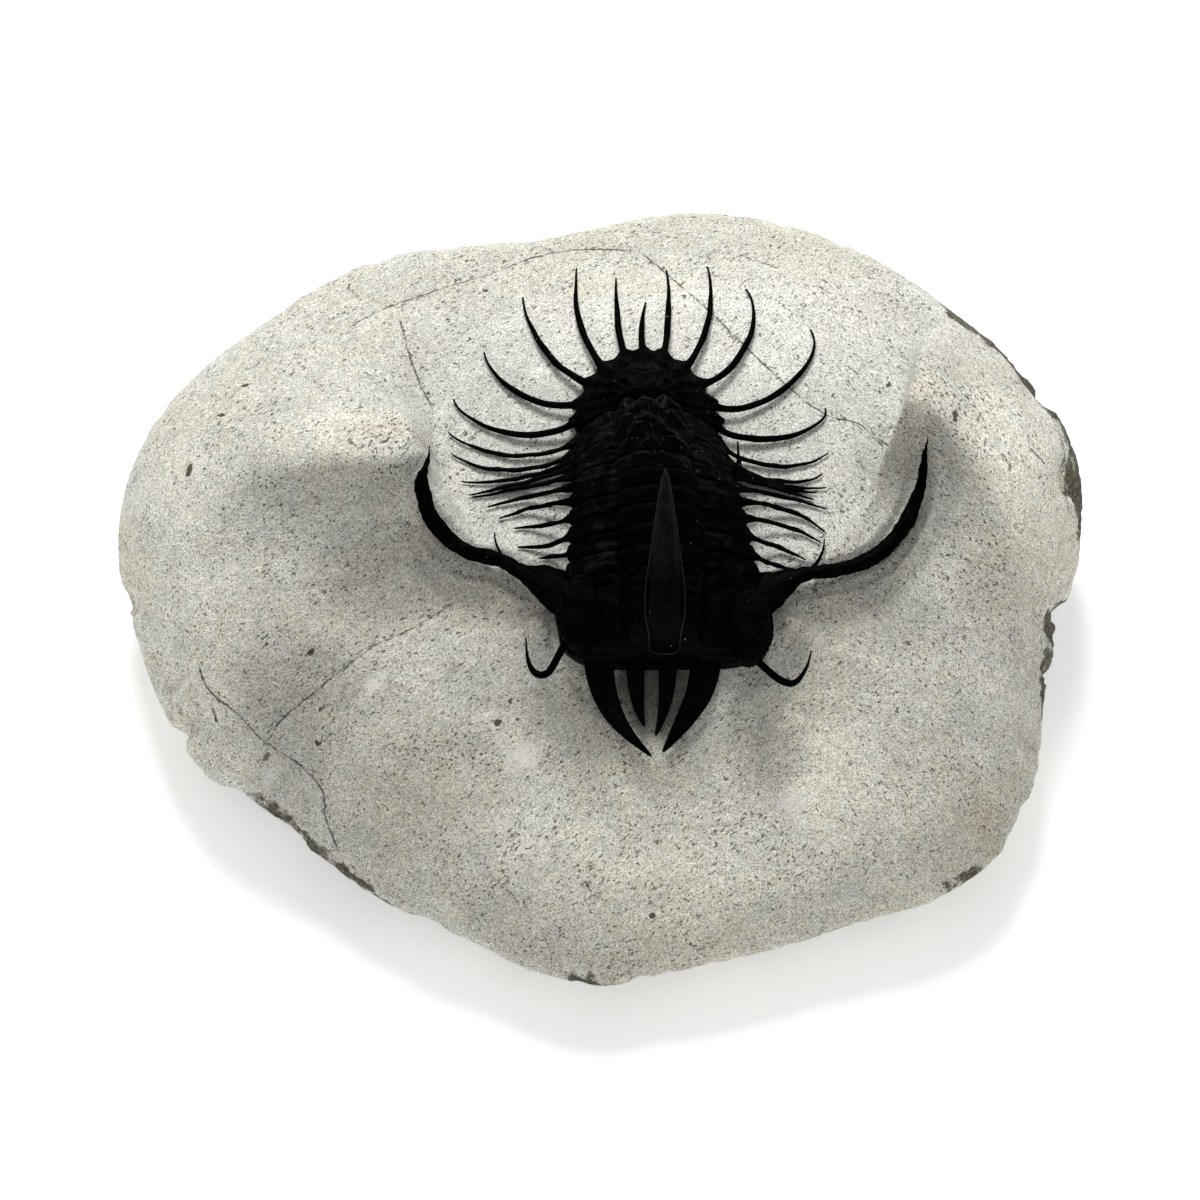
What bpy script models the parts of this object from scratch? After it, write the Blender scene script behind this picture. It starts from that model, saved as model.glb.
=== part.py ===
"""A spiny fossil trilobite prepared in relief on its limestone nodule.

Sizes are in millimetres and MM turns them into Blender's metres. The head points
along -Y and the tail along +Y, +X is the right of the fossil as it is looked at
from the head side, and +Z is up. The origin is the middle of the flat spot that
the stone rests on.
"""

import math

import bmesh
import bpy
from mathutils import Vector

MM = 0.001

# Outline of the stone seen from above: its radius every 20 degrees, from +X
STONE_RADII = (70.0, 76.0, 73.0, 70.5, 67.5, 63.5, 68.0, 71.0, 75.5, 71.5,
               63.5, 56.0, 53.5, 56.5, 57.5, 59.5, 68.0, 69.5)
REST_RADII = (35.0, 25.0)
GIRTH_FRONT = 9.0
GIRTH_BACK = 16.0
EDGE_RISE_FRONT = 33.0
EDGE_RISE_BACK = 60.0
EDGE_BULGE_FRONT = 0.72
EDGE_BULGE_BACK = 0.52
EDGE_ROUNDING = 8.0

# Natural top of the stone: a front slope, a crown and a back slope
CROWN_Z = 35.5
FRONT_EDGE_Y = -4.0
FRONT_SLOPE = 0.40
BACK_EDGE_Y = 47.0
BACK_SLOPE = 0.30
CROWN_ROUNDING = 9.0

# The ridge left standing at both sides of the fossil
RIDGE_Y = 17.0
RIDGE_SKEW = 0.07
RIDGE_HEIGHT = 9.5
RIDGE_GAIN = 0.035
RIDGE_FRONT = 14.0
RIDGE_BACK = 24.0
RIDGE_ENDS = (-72.0, 74.0)
RIDGE_FADE = 30.0

# The pocket dug around the fossil, and the stone kept under its arched shell
FLOOR_Z = 34.0
FLOOR_TILT = 0.03
LEFT_WALL_X = -16.5
LEFT_WALL_LEAN = 0.5
LEFT_WALL_TURN_Y = 15.0
LEFT_WALL_BACK_LEAN = 0.15
RIGHT_WALL_X = 33.0
RIGHT_WALL_LEAN = 0.6
RIGHT_WALL_BEND = 0.0085
WALL_STEEPNESS = 3.0
WALL_ROUNDING = 2.0
CORE_CLEARANCE = 2.6
CORE_DEPTH = 2.0
CORE_NARROWING = 1.2
CORE_SPREAD = 0.17
CORE_FRONT_Y = -3.5

# Faceting
STONE_SECTORS = 72
STONE_RINGS = 18
UNDERSIDE_RINGS = 4
PLATE_STEPS = 12
TAIL_SECTORS = 24
TAIL_RINGS = 5
HEAD_COLUMNS = 20
HEAD_ROWS = 8

# The shell, by segment number: 1 is next to the head, 11 is next to the tail
SEGMENTS = 11
MIDLINE_HEAD = 9.4
MIDLINE_TAIL = 6.6
BEND_START = -12.0
BEND_END = 34.0
SHELL = 1.2
GAP = 0.35
BAND_RELIEF = 0.45
AXIS_START_Y = -4.8
PITCH = 3.0
PITCH_LOSS = 0.035
MARGIN_START_Y = -3.5
MARGIN_PITCH = 2.9
CROWDING = 0.625
CROWDING_START = 6.5
MARGIN_Z = 36.2
MARGIN_SWELL = 1.6
SWELL_MIDDLE = 4.5
SWELL_SPREAD = 3.0
HALF_WIDTH_FRONT = 14.3
HALF_WIDTH_LOSS = 0.34
CREST_Y = 13.0
CREST_Z = 48.0
CREST_FALL_FRONT = 0.012
CREST_FALL_BACK = 0.05
AXIAL_WIDTH = 0.46
AXIAL_SHARE = 0.32

# Spines of the thorax from segment 1 to 11: how far the tip is from the root, its
# bearing from straight out and how far the spine turns on the way, in degrees,
# where backwards is positive
REACH_RIGHT = (4.0, 5.7, 8.2, 11.2, 13.3, 12.6, 11.8, 12.4, 14.7, 14.8, 15.7)
REACH_LEFT = (3.5, 4.5, 7.0, 7.6, 10.1, 12.0, 14.4, 15.6, 17.0, 18.4, 19.8)
BEARING_RIGHT = (12.0, -14.0, -27.0, -27.0, -28.0, -21.5, -23.0, -24.0, -23.5, -12.5, -6.0)
BEARING_LEFT = (10.0, 3.0, -6.0, -9.0, -16.0, -17.0, -16.0, -17.0, -12.0, -2.0, 5.0)
TURN = (5.0, 5.0, 6.0, 4.0, 6.0, 16.0, 20.0, 22.0, 28.0, 38.0, 42.0)
SPINE_RADIUS = 0.48
TAIL_SPINE_RADIUS = 0.6
SPINE_TIP_RADIUS = 0.2
SPINE_LIFT = 0.9
SPINE_RINGS = (0.12, 0.3, 0.5, 0.72, 0.9)

# The tail and its five pairs of spines from front to back, with the same measures
TAIL_FRONT_Y = 20.6
TAIL_LENGTH = 14.8
TAIL_HALF_WIDTH = 10.8
TAIL_END_Z = 36.6
RACHIS_HEIGHT = 1.4
RACHIS_HALF_WIDTH = 3.0
TAIL_ROOTS = (9.0, 21.0, 37.0, 54.0, 74.0)
TAIL_REACH_RIGHT = (17.4, 21.5, 19.5, 20.0, 15.5)
TAIL_REACH_LEFT = (19.0, 20.0, 19.5, 20.0, 15.5)
TAIL_BEARING_RIGHT = (7.0, 42.0, 67.0, 80.0, 88.0)
TAIL_BEARING_LEFT = (13.0, 32.0, 57.0, 78.0, 84.0)
TAIL_TURN_RIGHT = (50.0, 40.0, 30.0, 14.0, 5.0)
TAIL_TURN_LEFT = (32.0, 36.0, 26.0, 12.0, 5.0)
MEDIAN_REACH = 10.4

# The head
HEAD_HALF_WIDTH = 16.6
HEAD_FRONT_HALF_WIDTH = 15.2
HEAD_FRONT_Y = -16.6
HEAD_TOP_Z = 43.4
HEAD_FRONT_Z = 32.0
HEAD_EDGE = 2.0
HEAD_LIFT = 0.7
GLABELLA = 0.36
EYE_OFFSET = 11.5
EYE_RIGHT = (-13.6, 37.8)
EYE_LEFT = (-12.4, 38.5)
EYE_RADII = (3.3, 4.3, 5.8)
EYE_ROWS = 7
EYE_COLUMNS = 12
GENAL_RADIUS = 0.85
GENAL_FLARE = 1.55
GENAL_SPINELETS = (4.6, 6.6)
GENAL_RINGS = 12

# Plan of the two long cheek spines: distance out from the midline, and place along Y
GENAL_RIGHT = ((15.5, -7.1), (20.4, -4.4), (26.0, -2.9), (31.0, -1.3), (34.8, 1.6), (37.4, 6.0),
               (38.9, 11.0), (39.3, 15.0))
GENAL_LEFT = ((15.5, -7.1), (21.0, -3.7), (24.6, -2.1), (28.5, -0.8), (31.6, 0.9), (34.1, 3.4),
              (35.4, 6.4), (35.3, 9.6), (34.3, 12.2))

# The thin hooked spines of the front corners: distance out, place along Y, and Z
HOOK_RIGHT = ((9.6, -12.5, 38.0), (10.8, -15.0, 37.0), (14.6, -18.0, 33.4), (18.4, -19.4, 31.2),
              (20.6, -17.4, 31.6), (21.6, -14.6, 32.4))
HOOK_LEFT = ((12.5, -12.5, 37.0), (14.9, -15.7, 35.0), (16.9, -17.9, 31.9), (18.8, -17.8, 31.4),
             (20.0, -15.6, 31.9), (20.3, -12.6, 32.8))

# The horn: Y and Z along its middle, from inside the head to its tip
HORN = ((-12.6, 34.0), (-12.4, 38.5), (-10.9, 43.0), (-7.8, 48.0), (-3.5, 52.6), (2.2, 56.3))
HORN_HALF_WIDTH = 3.15
HORN_HALF_DEPTH = 4.3
HORN_TIP_RADIUS = 0.35
HORN_RINGS = 8

# The flat fork: plan of the four prongs from left to right, X and Y, and half widths
FORK = (
    (((-0.2, -14.5), (-0.1, -17.0), (0.6, -20.3), (2.0, -23.4), (4.2, -26.2), (7.6, -29.3)), 2.2),
    (((5.1, -14.5), (5.2, -17.5), (5.4, -20.5), (5.8, -23.0), (6.5, -25.2)), 1.4),
    (((10.0, -14.5), (9.9, -17.5), (9.7, -20.5), (9.1, -23.6), (8.1, -26.5)), 1.4),
    (((15.7, -14.5), (15.3, -17.5), (14.5, -20.5), (12.9, -23.4), (11.0, -26.2), (9.1, -28.7)), 2.3),
)
FORK_THICKNESS = 0.65
FORK_RINGS = 7


def mix(a, b, share):
    """The value a share of the way from a to b."""
    return a + (b - a) * share


def step(low, high, value):
    """Ease from 0 at low to 1 at high."""
    t = min(max((value - low) / (high - low), 0.0), 1.0)
    return t * t * (3.0 - 2.0 * t)


def soft_min(a, b, rounding):
    """The lower of two heights, with the crease between them rounded."""
    near = max(rounding - abs(a - b), 0.0) / rounding
    return min(a, b) - near * near * rounding / 4.0


def stone_radius(angle):
    """Radius of the stone's outline at an angle, a smooth curve through STONE_RADII."""
    count = len(STONE_RADII)
    place = (angle / math.tau % 1.0) * count
    i = int(place)
    t = place - i
    a, b, c, d = (STONE_RADII[(i + k) % count] for k in (-1, 0, 1, 2))
    bend = 2.0 * a - 5.0 * b + 4.0 * c - d
    return b + 0.5 * t * (c - a + t * (bend + t * (3.0 * (b - c) + d - a)))


def girth_height(angle):
    """Height of the stone's widest line."""
    return mix(GIRTH_FRONT, GIRTH_BACK, step(-0.9, 0.6, math.sin(angle)))


def natural_top(x, y):
    """The stone's own surface before the pocket was dug."""
    front = CROWN_Z + FRONT_SLOPE * (y - FRONT_EDGE_Y)
    back = CROWN_Z - BACK_SLOPE * (y - BACK_EDGE_Y)
    base = soft_min(soft_min(front, CROWN_Z, CROWN_ROUNDING), back, CROWN_ROUNDING)
    off = y - RIDGE_Y - RIDGE_SKEW * x
    reach = RIDGE_BACK if off > 0 else RIDGE_FRONT
    left, right = RIDGE_ENDS
    ends = step(left, left + RIDGE_FADE, x) * step(-right, RIDGE_FADE - right, -x)
    return base + (RIDGE_HEIGHT + RIDGE_GAIN * x) * ends * math.exp(-(off / reach) ** 2)


def pocket_floor(x, y):
    """The dug pocket: a gently tilted floor with steep walls left and right."""
    behind = max(y - LEFT_WALL_TURN_Y, 0.0)
    left = LEFT_WALL_X - LEFT_WALL_LEAN * (y - behind) - LEFT_WALL_BACK_LEAN * behind
    right = RIGHT_WALL_X + RIGHT_WALL_LEAN * y - RIGHT_WALL_BEND * y * y
    outside = max(left - x, x - right, 0.0)
    return FLOOR_Z + FLOOR_TILT * y + WALL_STEEPNESS * outside


def core_top(x, y):
    """The stone that fills the arched shell from below."""
    along = max(y - TAIL_FRONT_Y, 0.0) / TAIL_LENGTH
    if along >= 1.0 or y < CORE_FRONT_Y:
        return 0.0
    width = half_width(SEGMENTS) * math.sqrt(1.0 - along ** 2) + CORE_SPREAD * max(TAIL_FRONT_Y - y, 0.0)
    arch = lobes((x - midline_x(y)) / width * CORE_NARROWING) * step(CORE_FRONT_Y, 0.0, y)
    foot = FLOOR_Z + FLOOR_TILT * y - CORE_DEPTH
    return foot + max(crest_height(y) - CORE_CLEARANCE - foot, 0.0) * arch


def stone_top(x, y):
    """Height of the stone's upper surface."""
    angle = math.atan2(y, x)
    share = min(math.hypot(x, y) / stone_radius(angle), 1.0)
    back = step(-0.6, 0.6, math.sin(angle))
    rise = mix(EDGE_RISE_FRONT, EDGE_RISE_BACK, back)
    bulge = mix(EDGE_BULGE_FRONT, EDGE_BULGE_BACK, back)
    edge = girth_height(angle) + rise * (1.0 - share ** 2) ** bulge
    dug = soft_min(natural_top(x, y), pocket_floor(x, y), WALL_ROUNDING)
    top = max(dug, core_top(x, y))
    return soft_min(top, edge, EDGE_ROUNDING) if share < 1.0 else girth_height(angle)


def crest_height(y):
    """Height of the arched shell's top on the midline, highest near the middle."""
    fall = CREST_FALL_FRONT if y < CREST_Y else CREST_FALL_BACK
    return CREST_Z - fall * (y - CREST_Y) ** 2


def midline_x(y):
    """The animal lies with a slight bend: its midline over the stone."""
    return mix(MIDLINE_HEAD, MIDLINE_TAIL, step(BEND_START, BEND_END, y))


def axis_point(k):
    """Place along Y and height of the shell's top on the midline, at segment number k."""
    y = AXIS_START_Y + PITCH * (k - 1.0) - PITCH_LOSS * (k - 1.0) ** 2
    return y, crest_height(y)


def margin_point(k):
    """Place along Y and height of the shell's side edge: it crowds towards the tail."""
    past = k - CROWDING_START
    y = MARGIN_START_Y + MARGIN_PITCH * (k - 1.0) - CROWDING * (past + math.hypot(past, 1.0))
    return y, MARGIN_Z + MARGIN_SWELL * math.exp(-((k - SWELL_MIDDLE) / SWELL_SPREAD) ** 2)


def half_width(k):
    """Half the width of the shell at segment number k."""
    return HALF_WIDTH_FRONT - HALF_WIDTH_LOSS * k


def lobes(u):
    """The three-lobed cross-section: 1 on the midline, 0 at the side edge."""
    u = min(abs(u), 1.0)
    side = (1.0 - u ** 2.6) ** 0.85
    axial = max(1.0 - (u / AXIAL_WIDTH) ** 2, 0.0) ** 0.6
    return (1.0 - AXIAL_SHARE) * side + AXIAL_SHARE * axial


def shell_point(k, u):
    """A point of the shell's top at segment number k, with u from -1 (left) to 1 (right)."""
    drop = 1.0 - lobes(u)
    axis, margin = axis_point(k), margin_point(k)
    y = mix(axis[0], margin[0], drop)
    return Vector((midline_x(y) + u * half_width(k), y, mix(axis[1], margin[1], drop)))


def shell_normal(k, u):
    """The outward direction of the shell there."""
    across = shell_point(k, min(u + 0.02, 1.0)) - shell_point(k, max(u - 0.02, -1.0))
    along = shell_point(k + 0.1, u) - shell_point(k - 0.1, u)
    return across.cross(along).normalized()


def lying_path(root, side, reach, bearing, turn, fractions, lift=SPINE_LIFT):
    """Points of a spine that leaves its root and comes down to lie just over the stone."""
    out, back = math.cos(math.radians(bearing)), math.sin(math.radians(bearing))
    chord = Vector((side * out, back, 0.0)) * reach
    start, end = (
        Vector((side * math.cos(math.radians(heading)), math.sin(math.radians(heading)), 0.0)) * reach
        for heading in (bearing - turn, bearing + turn))
    drop = root.z - stone_top(root.x, root.y) - lift
    points = []
    for t in fractions:
        place = (root + chord * (t * t * (3.0 - 2.0 * t)) + start * (t * (1.0 - t) ** 2)
                 - end * (t * t * (1.0 - t)))
        place.z = stone_top(place.x, place.y) + lift + drop * (1.0 - t) ** 2
        points.append(place)
    return points


def smooth_path(keys, count):
    """Points of a smooth curve through a few keys."""
    keys = [Vector(key) for key in keys]
    keys = [keys[0] * 2.0 - keys[1]] + keys + [keys[-1] * 2.0 - keys[-2]]
    points = []
    for n in range(count + 1):
        place = min(n * (len(keys) - 3) / count, len(keys) - 3 - 1e-6)
        i = int(place)
        t = place - i
        a, b, c, d = keys[i:i + 4]
        bend = 2.0 * a - 5.0 * b + 4.0 * c - d
        points.append(b + 0.5 * t * (c - a + t * (bend + t * (3.0 * (b - c) + d - a))))
    return points


def frame_at(path, i, hint=Vector((0.0, 0.0, 1.0))):
    """The sideways and upward directions of a path at one of its points."""
    ahead = (path[min(i + 1, len(path) - 1)] - path[max(i - 1, 0)]).normalized()
    side = hint.cross(ahead).normalized()
    return side, ahead.cross(side)


def ring_faces(rings, sides, closed_start):
    """Faces that join rings of points into a tube which ends in a point."""
    faces = []
    for r in range(rings - 1):
        for i in range(sides):
            j = (i + 1) % sides
            low, high = r * sides, (r + 1) * sides
            faces.append((low + i, low + j, high + j, high + i))
    tip = rings * sides
    for i in range(sides):
        faces.append((tip - sides + i, tip - sides + (i + 1) % sides, tip))
    if closed_start:
        faces.append(tuple(reversed(range(sides))))
    return faces


def sweep(path, size, sides=5, hint=Vector((0.0, 0.0, 1.0))):
    """A tapering tube along a path; size gives half width and half height at a share of it."""
    points = []
    for i, place in enumerate(path[:-1]):
        side, up = frame_at(path, i, hint)
        wide, high = size(i / (len(path) - 1))
        for n in range(sides):
            turn = math.tau * n / sides
            points.append(place + side * (math.cos(turn) * wide) + up * (math.sin(turn) * high))
    points.append(path[-1])
    return points, ring_faces(len(path) - 1, sides, True)


def taper(radius, tip=SPINE_TIP_RADIUS):
    """Size of a round spine that thins to its tip."""
    def size(share):
        thick = mix(radius, tip, share ** 1.3)
        return thick, thick
    return size


def flat_taper(width, height, tip=0.3):
    """Size of a flat prong that keeps its width for a while and then runs to a point."""
    def size(share):
        return mix(width, tip, share ** 1.8), mix(height, tip, share)
    return size


def slab(top, bottom):
    """Points and faces of a curved plate from a grid of top points and one of bottom points."""
    rows, columns = len(top), len(top[0])
    points = [p for row in top for p in row] + [p for row in bottom for p in row]
    below = rows * columns
    faces = []
    for r in range(rows - 1):
        for c in range(columns - 1):
            a = r * columns + c
            quad = (a, a + 1, a + columns + 1, a + columns)
            faces.append(quad)
            faces.append(tuple(below + v for v in reversed(quad)))
    edge = [c for c in range(columns)]
    edge += [r * columns + columns - 1 for r in range(1, rows)]
    edge += [(rows - 1) * columns + c for c in range(columns - 2, -1, -1)]
    edge += [r * columns for r in range(rows - 2, 0, -1)]
    for a, b in zip(edge, edge[1:] + edge[:1]):
        faces.append((a, a + below, b + below, b))
    return points, faces


def add_object(name, shape, material=None):
    """Make one closed object from points in millimetres and faces."""
    points, faces = shape
    mesh = bpy.data.meshes.new(name)
    mesh.from_pydata([Vector(p) * MM for p in points], [], faces)
    solid = bmesh.new()
    solid.from_mesh(mesh)
    bmesh.ops.remove_doubles(solid, verts=solid.verts, dist=1e-6)
    bmesh.ops.recalc_face_normals(solid, faces=solid.faces)
    solid.to_mesh(mesh)
    solid.free()
    mesh.shade_smooth()
    if material:
        mesh.materials.append(material)
    item = bpy.data.objects.new(name, mesh)
    bpy.context.scene.collection.objects.link(item)
    return item


def fuse(item, shapes):
    """Join closed shapes to an object so that they are one solid."""
    tools = [add_object(item.name + "_tool", shape) for shape in shapes]
    for tool in tools:
        union = item.modifiers.new("union", "BOOLEAN")
        union.operation = "UNION"
        union.solver = "EXACT"
        union.object = tool
    graph = bpy.context.evaluated_depsgraph_get()
    mesh = bpy.data.meshes.new_from_object(item.evaluated_get(graph))
    item.modifiers.clear()
    mesh.name = item.name
    item.data = mesh
    for tool in tools:
        bpy.data.objects.remove(tool)


def make_material(name, colour, roughness):
    """A plain material for one kind of surface."""
    material = bpy.data.materials.new(name)
    material.use_nodes = True
    shader = material.node_tree.nodes["Principled BSDF"]
    shader.inputs["Base Color"].default_value = (*colour, 1.0)
    shader.inputs["Roughness"].default_value = roughness
    shader.inputs["Metallic"].default_value = 0.0
    return material


def build_stone(material):
    """The limestone nodule: one closed solid with a flat spot below."""
    angles = [math.tau * i / STONE_SECTORS for i in range(STONE_SECTORS)]
    rings = []
    for ring in range(1, STONE_RINGS + 1):
        share = math.sin(0.5 * math.pi * ring / STONE_RINGS) ** 0.9
        points = []
        for a in angles:
            x, y = (stone_radius(a) * share * turned for turned in (math.cos(a), math.sin(a)))
            points.append(Vector((x, y, stone_top(x, y))))
        rings.append(points)
    for ring in range(1, UNDERSIDE_RINGS + 1):
        turn = 0.5 * math.pi * ring / UNDERSIDE_RINGS
        points = []
        for a in angles:
            rim = Vector((math.cos(a), math.sin(a), 0.0)) * stone_radius(a)
            rest = Vector((math.cos(a) * REST_RADII[0], math.sin(a) * REST_RADII[1], 0.0))
            place = rest.lerp(rim, math.cos(turn))
            place.z = girth_height(a) * (1.0 - math.sin(turn))
            points.append(place)
        rings.append(points)
    points = [p for ring in rings for p in ring]
    faces = []
    for r in range(len(rings) - 1):
        for i in range(STONE_SECTORS):
            j = (i + 1) % STONE_SECTORS
            low, high = r * STONE_SECTORS, (r + 1) * STONE_SECTORS
            faces.append((low + i, high + i, high + j, low + j))
    middle = len(points)
    points.append(Vector((0.0, 0.0, stone_top(0.0, 0.0))))
    faces.extend((middle, i, (i + 1) % STONE_SECTORS) for i in range(STONE_SECTORS))
    faces.append(tuple(reversed(range(middle - STONE_SECTORS, middle))))
    return add_object("limestone_matrix", (points, faces), material)


def plate_ring(number, u):
    """Six points round one segment's band, from its rear top edge over the ridge and below."""
    whole = (shell_point(number + 0.5, u) - shell_point(number - 0.5, u)).length
    inset = 0.5 * GAP / whole
    front, rear = number - 0.5 + inset, number + 0.5 - inset
    up = shell_normal(number, u)
    ridge_rear, ridge_front = mix(front, rear, 0.7), mix(front, rear, 0.3)
    return [
        shell_point(rear, u),
        shell_point(ridge_rear, u) + up * BAND_RELIEF,
        shell_point(ridge_front, u) + up * BAND_RELIEF,
        shell_point(front, u) - up * 0.1,
        shell_point(front, u) - up * SHELL,
        shell_point(rear, u) - up * SHELL,
    ]


def segment_spine(number, side):
    """Rings and tip of one segment's spine, in order from the root outwards."""
    reach, bearing = (REACH_RIGHT, BEARING_RIGHT) if side > 0 else (REACH_LEFT, BEARING_LEFT)
    root = shell_point(number, side) - shell_normal(number, side) * (0.5 * SHELL)
    path = [root] + lying_path(
        root, side, reach[number - 1], bearing[number - 1], TURN[number - 1], SPINE_RINGS + (1.0,))
    if side < 0:
        path.reverse()
    rings = []
    for i, share in enumerate(SPINE_RINGS):
        i = i + 1 if side > 0 else len(path) - 2 - i
        across, up = frame_at(path, i)
        thick = mix(SPINE_RADIUS, SPINE_TIP_RADIUS, share)
        turns = [math.tau * n / 6 for n in range(6)]
        rings.append([path[i] + (across * math.cos(turn) + up * math.sin(turn)) * thick for turn in turns])
    return rings, path[-1] if side > 0 else path[0]


def build_segment(number, material):
    """One segment of the thorax: an arched band that ends in a spine at each side."""
    left, left_tip = segment_spine(number, -1)
    right, right_tip = segment_spine(number, 1)
    rings = list(reversed(left))
    for n in range(PLATE_STEPS + 1):
        rings.append(plate_ring(number, math.sin(0.5 * math.pi * (2.0 * n / PLATE_STEPS - 1.0))))
    rings += right
    points = [p for ring in rings for p in ring] + [right_tip, left_tip]
    faces = ring_faces(len(rings), 6, False)
    start = len(points) - 1
    faces.extend(((i + 1) % 6, i, start) for i in range(6))
    return add_object(f"thoracic_segment_{number:02d}", (points, faces), material)


def tail_point(turn, share):
    """A point of the tail shield: turn goes from the right front corner round to the left."""
    front = SEGMENTS + 0.5 + 0.5 * GAP / 1.5
    axis, margin = axis_point(front), margin_point(front)
    middle = Vector((midline_x(axis[0]), *axis))
    y = margin[0] + (TAIL_FRONT_Y + TAIL_LENGTH - margin[0]) * math.sin(turn)
    rim = Vector((midline_x(y) + TAIL_HALF_WIDTH * math.cos(turn), y,
                  mix(margin[1], TAIL_END_Z, math.sin(turn))))
    drop = 1.0 - lobes(share)
    point = Vector((mix(middle.x, rim.x, share), mix(middle.y, rim.y, drop), mix(middle.z, rim.z, drop)))
    off = (point.x - midline_x(point.y)) / RACHIS_HALF_WIDTH
    behind = step(middle.y, middle.y + 4.0, point.y) * step(-TAIL_FRONT_Y - TAIL_LENGTH, -31.0, -point.y)
    point.z += RACHIS_HEIGHT * behind * math.exp(-off * off)
    return point


def build_tail(material):
    """The tail shield with its five pairs of spines and the one behind."""
    top = []
    for r in range(TAIL_RINGS + 1):
        share = math.sin(0.5 * math.pi * r / TAIL_RINGS)
        top.append([tail_point(math.pi * c / TAIL_SECTORS, share) for c in range(TAIL_SECTORS + 1)])
    bottom = [[p - Vector((0.0, 0.0, SHELL)) for p in row] for row in top]
    tail = add_object("pygidium", slab(top, bottom), material)
    spines = []
    for n, degrees in enumerate(TAIL_ROOTS):
        for side in (1, -1):
            turn = math.radians(degrees if side > 0 else 180.0 - degrees)
            reach = (TAIL_REACH_RIGHT if side > 0 else TAIL_REACH_LEFT)[n]
            bearing = (TAIL_BEARING_RIGHT if side > 0 else TAIL_BEARING_LEFT)[n]
            curl = (TAIL_TURN_RIGHT if side > 0 else TAIL_TURN_LEFT)[n]
            spines.append((tail_point(turn, 0.93), side, reach, bearing, curl))
    spines.append((tail_point(0.5 * math.pi, 0.93), 1, MEDIAN_REACH, 88.0, 0.0))
    shapes = []
    for root, side, reach, bearing, turn in spines:
        root.z -= 0.5 * SHELL
        path = lying_path(root, side, reach, bearing, turn, (0.0,) + SPINE_RINGS + (1.0,))
        shapes.append(sweep(path, taper(TAIL_SPINE_RADIUS)))
    fuse(tail, shapes)


def head_edge(x, y):
    """Height of the head's edge over the slope that it rests on."""
    return stone_top(x, y) + HEAD_EDGE


def head_point(u, v):
    """A point of the head's top: u from left to right, v from its rear edge to its front."""
    front = 0.5 - 0.5 * GAP / 2.8
    across = HEAD_HALF_WIDTH * u / half_width(front)
    rear = shell_point(front, max(min(across, 1.0), -1.0))
    x = mix(midline_x(rear.y) + HEAD_HALF_WIDTH * u, midline_x(HEAD_FRONT_Y) + HEAD_FRONT_HALF_WIDTH * u, v)
    front_y = HEAD_FRONT_Y + 3.2 * abs(u) ** 6
    y = mix(rear.y, front_y, v)
    ridge = HEAD_FRONT_Z + (HEAD_TOP_Z - HEAD_FRONT_Z) * (1.0 - v ** 3) ** 0.6
    cheeks = 0.55 * (1.0 - abs(u) ** 2.5) ** 0.7
    glabella = 0.45 * max(1.0 - (u / GLABELLA) ** 2, 0.0) ** 0.5
    form = mix(lobes(across), cheeks + glabella, step(0.0, 0.3, v))
    edge = head_edge(x, y)
    return Vector((x, y, edge + max(ridge - edge, 0.0) * form))


def genal_spine(side):
    """The long curved spine at a rear corner of the head, and the spinelet on it."""
    path = smooth_path(
        [(MIDLINE_HEAD + side * out, y, 0.0) for out, y in (GENAL_RIGHT if side > 0 else GENAL_LEFT)],
        GENAL_RINGS)
    for place in path:
        ground = max(stone_top(place.x + dx, place.y) for dx in (-0.8, 0.0, 0.8))
        place.z = ground + GENAL_RADIUS + 0.6
    reach = GENAL_SPINELETS[0 if side > 0 else 1]
    branch = lying_path(path[2], side, reach, 62.0, 25.0, (0.0, 0.3, 0.6, 1.0), 1.6)

    def size(share):
        high = mix(GENAL_RADIUS, 0.25, share ** 2)
        return high + GENAL_FLARE * (1.0 - share) ** 9, high

    return [sweep(path, size, sides=6), sweep(branch, taper(0.45, 0.15))]


def front_spine(side):
    """The thin hooked spine that hangs over the front corner of the head."""
    hook = HOOK_RIGHT if side > 0 else HOOK_LEFT
    return sweep(smooth_path([(MIDLINE_HEAD + side * out, y, z) for out, y, z in hook], 9), taper(0.5))


def fork_prongs():
    """The flat four-pronged fork in front of the head."""
    shapes = []
    for keys, width in FORK:
        path = smooth_path([(x, y, stone_top(x, y) + FORK_THICKNESS + 0.7) for x, y in keys], FORK_RINGS)
        shapes.append(sweep(path, flat_taper(width, FORK_THICKNESS), sides=6))
    return shapes


def horn():
    """The tall blunt horn that leans back from the middle of the head."""
    def size(share):
        wide = HORN_TIP_RADIUS + (HORN_HALF_WIDTH - HORN_TIP_RADIUS) * (1.0 - share ** 3.4)
        deep = HORN_TIP_RADIUS + (HORN_HALF_DEPTH - HORN_TIP_RADIUS) * (1.0 - share) ** 0.5
        return wide, deep

    path = smooth_path([(MIDLINE_HEAD, y, z) for y, z in HORN], HORN_RINGS)
    return sweep(path, size, sides=8, hint=Vector((0.0, 1.0, 0.0)))


def eye(side):
    """A tall domed eye that stands on the cheek."""
    centre = Vector((MIDLINE_HEAD + side * EYE_OFFSET, *(EYE_RIGHT if side > 0 else EYE_LEFT)))
    points = []
    for r in range(1, EYE_ROWS):
        rise = math.pi * (r / EYE_ROWS - 0.5)
        for c in range(EYE_COLUMNS):
            turn = math.tau * c / EYE_COLUMNS
            flat = math.cos(rise)
            points.append(centre + Vector((
                EYE_RADII[0] * flat * math.cos(turn), EYE_RADII[1] * flat * math.sin(turn),
                EYE_RADII[2] * math.sin(rise))))
    points.append(centre + Vector((0.0, 0.0, EYE_RADII[2])))
    return points, ring_faces(EYE_ROWS - 1, EYE_COLUMNS, True)


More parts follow.
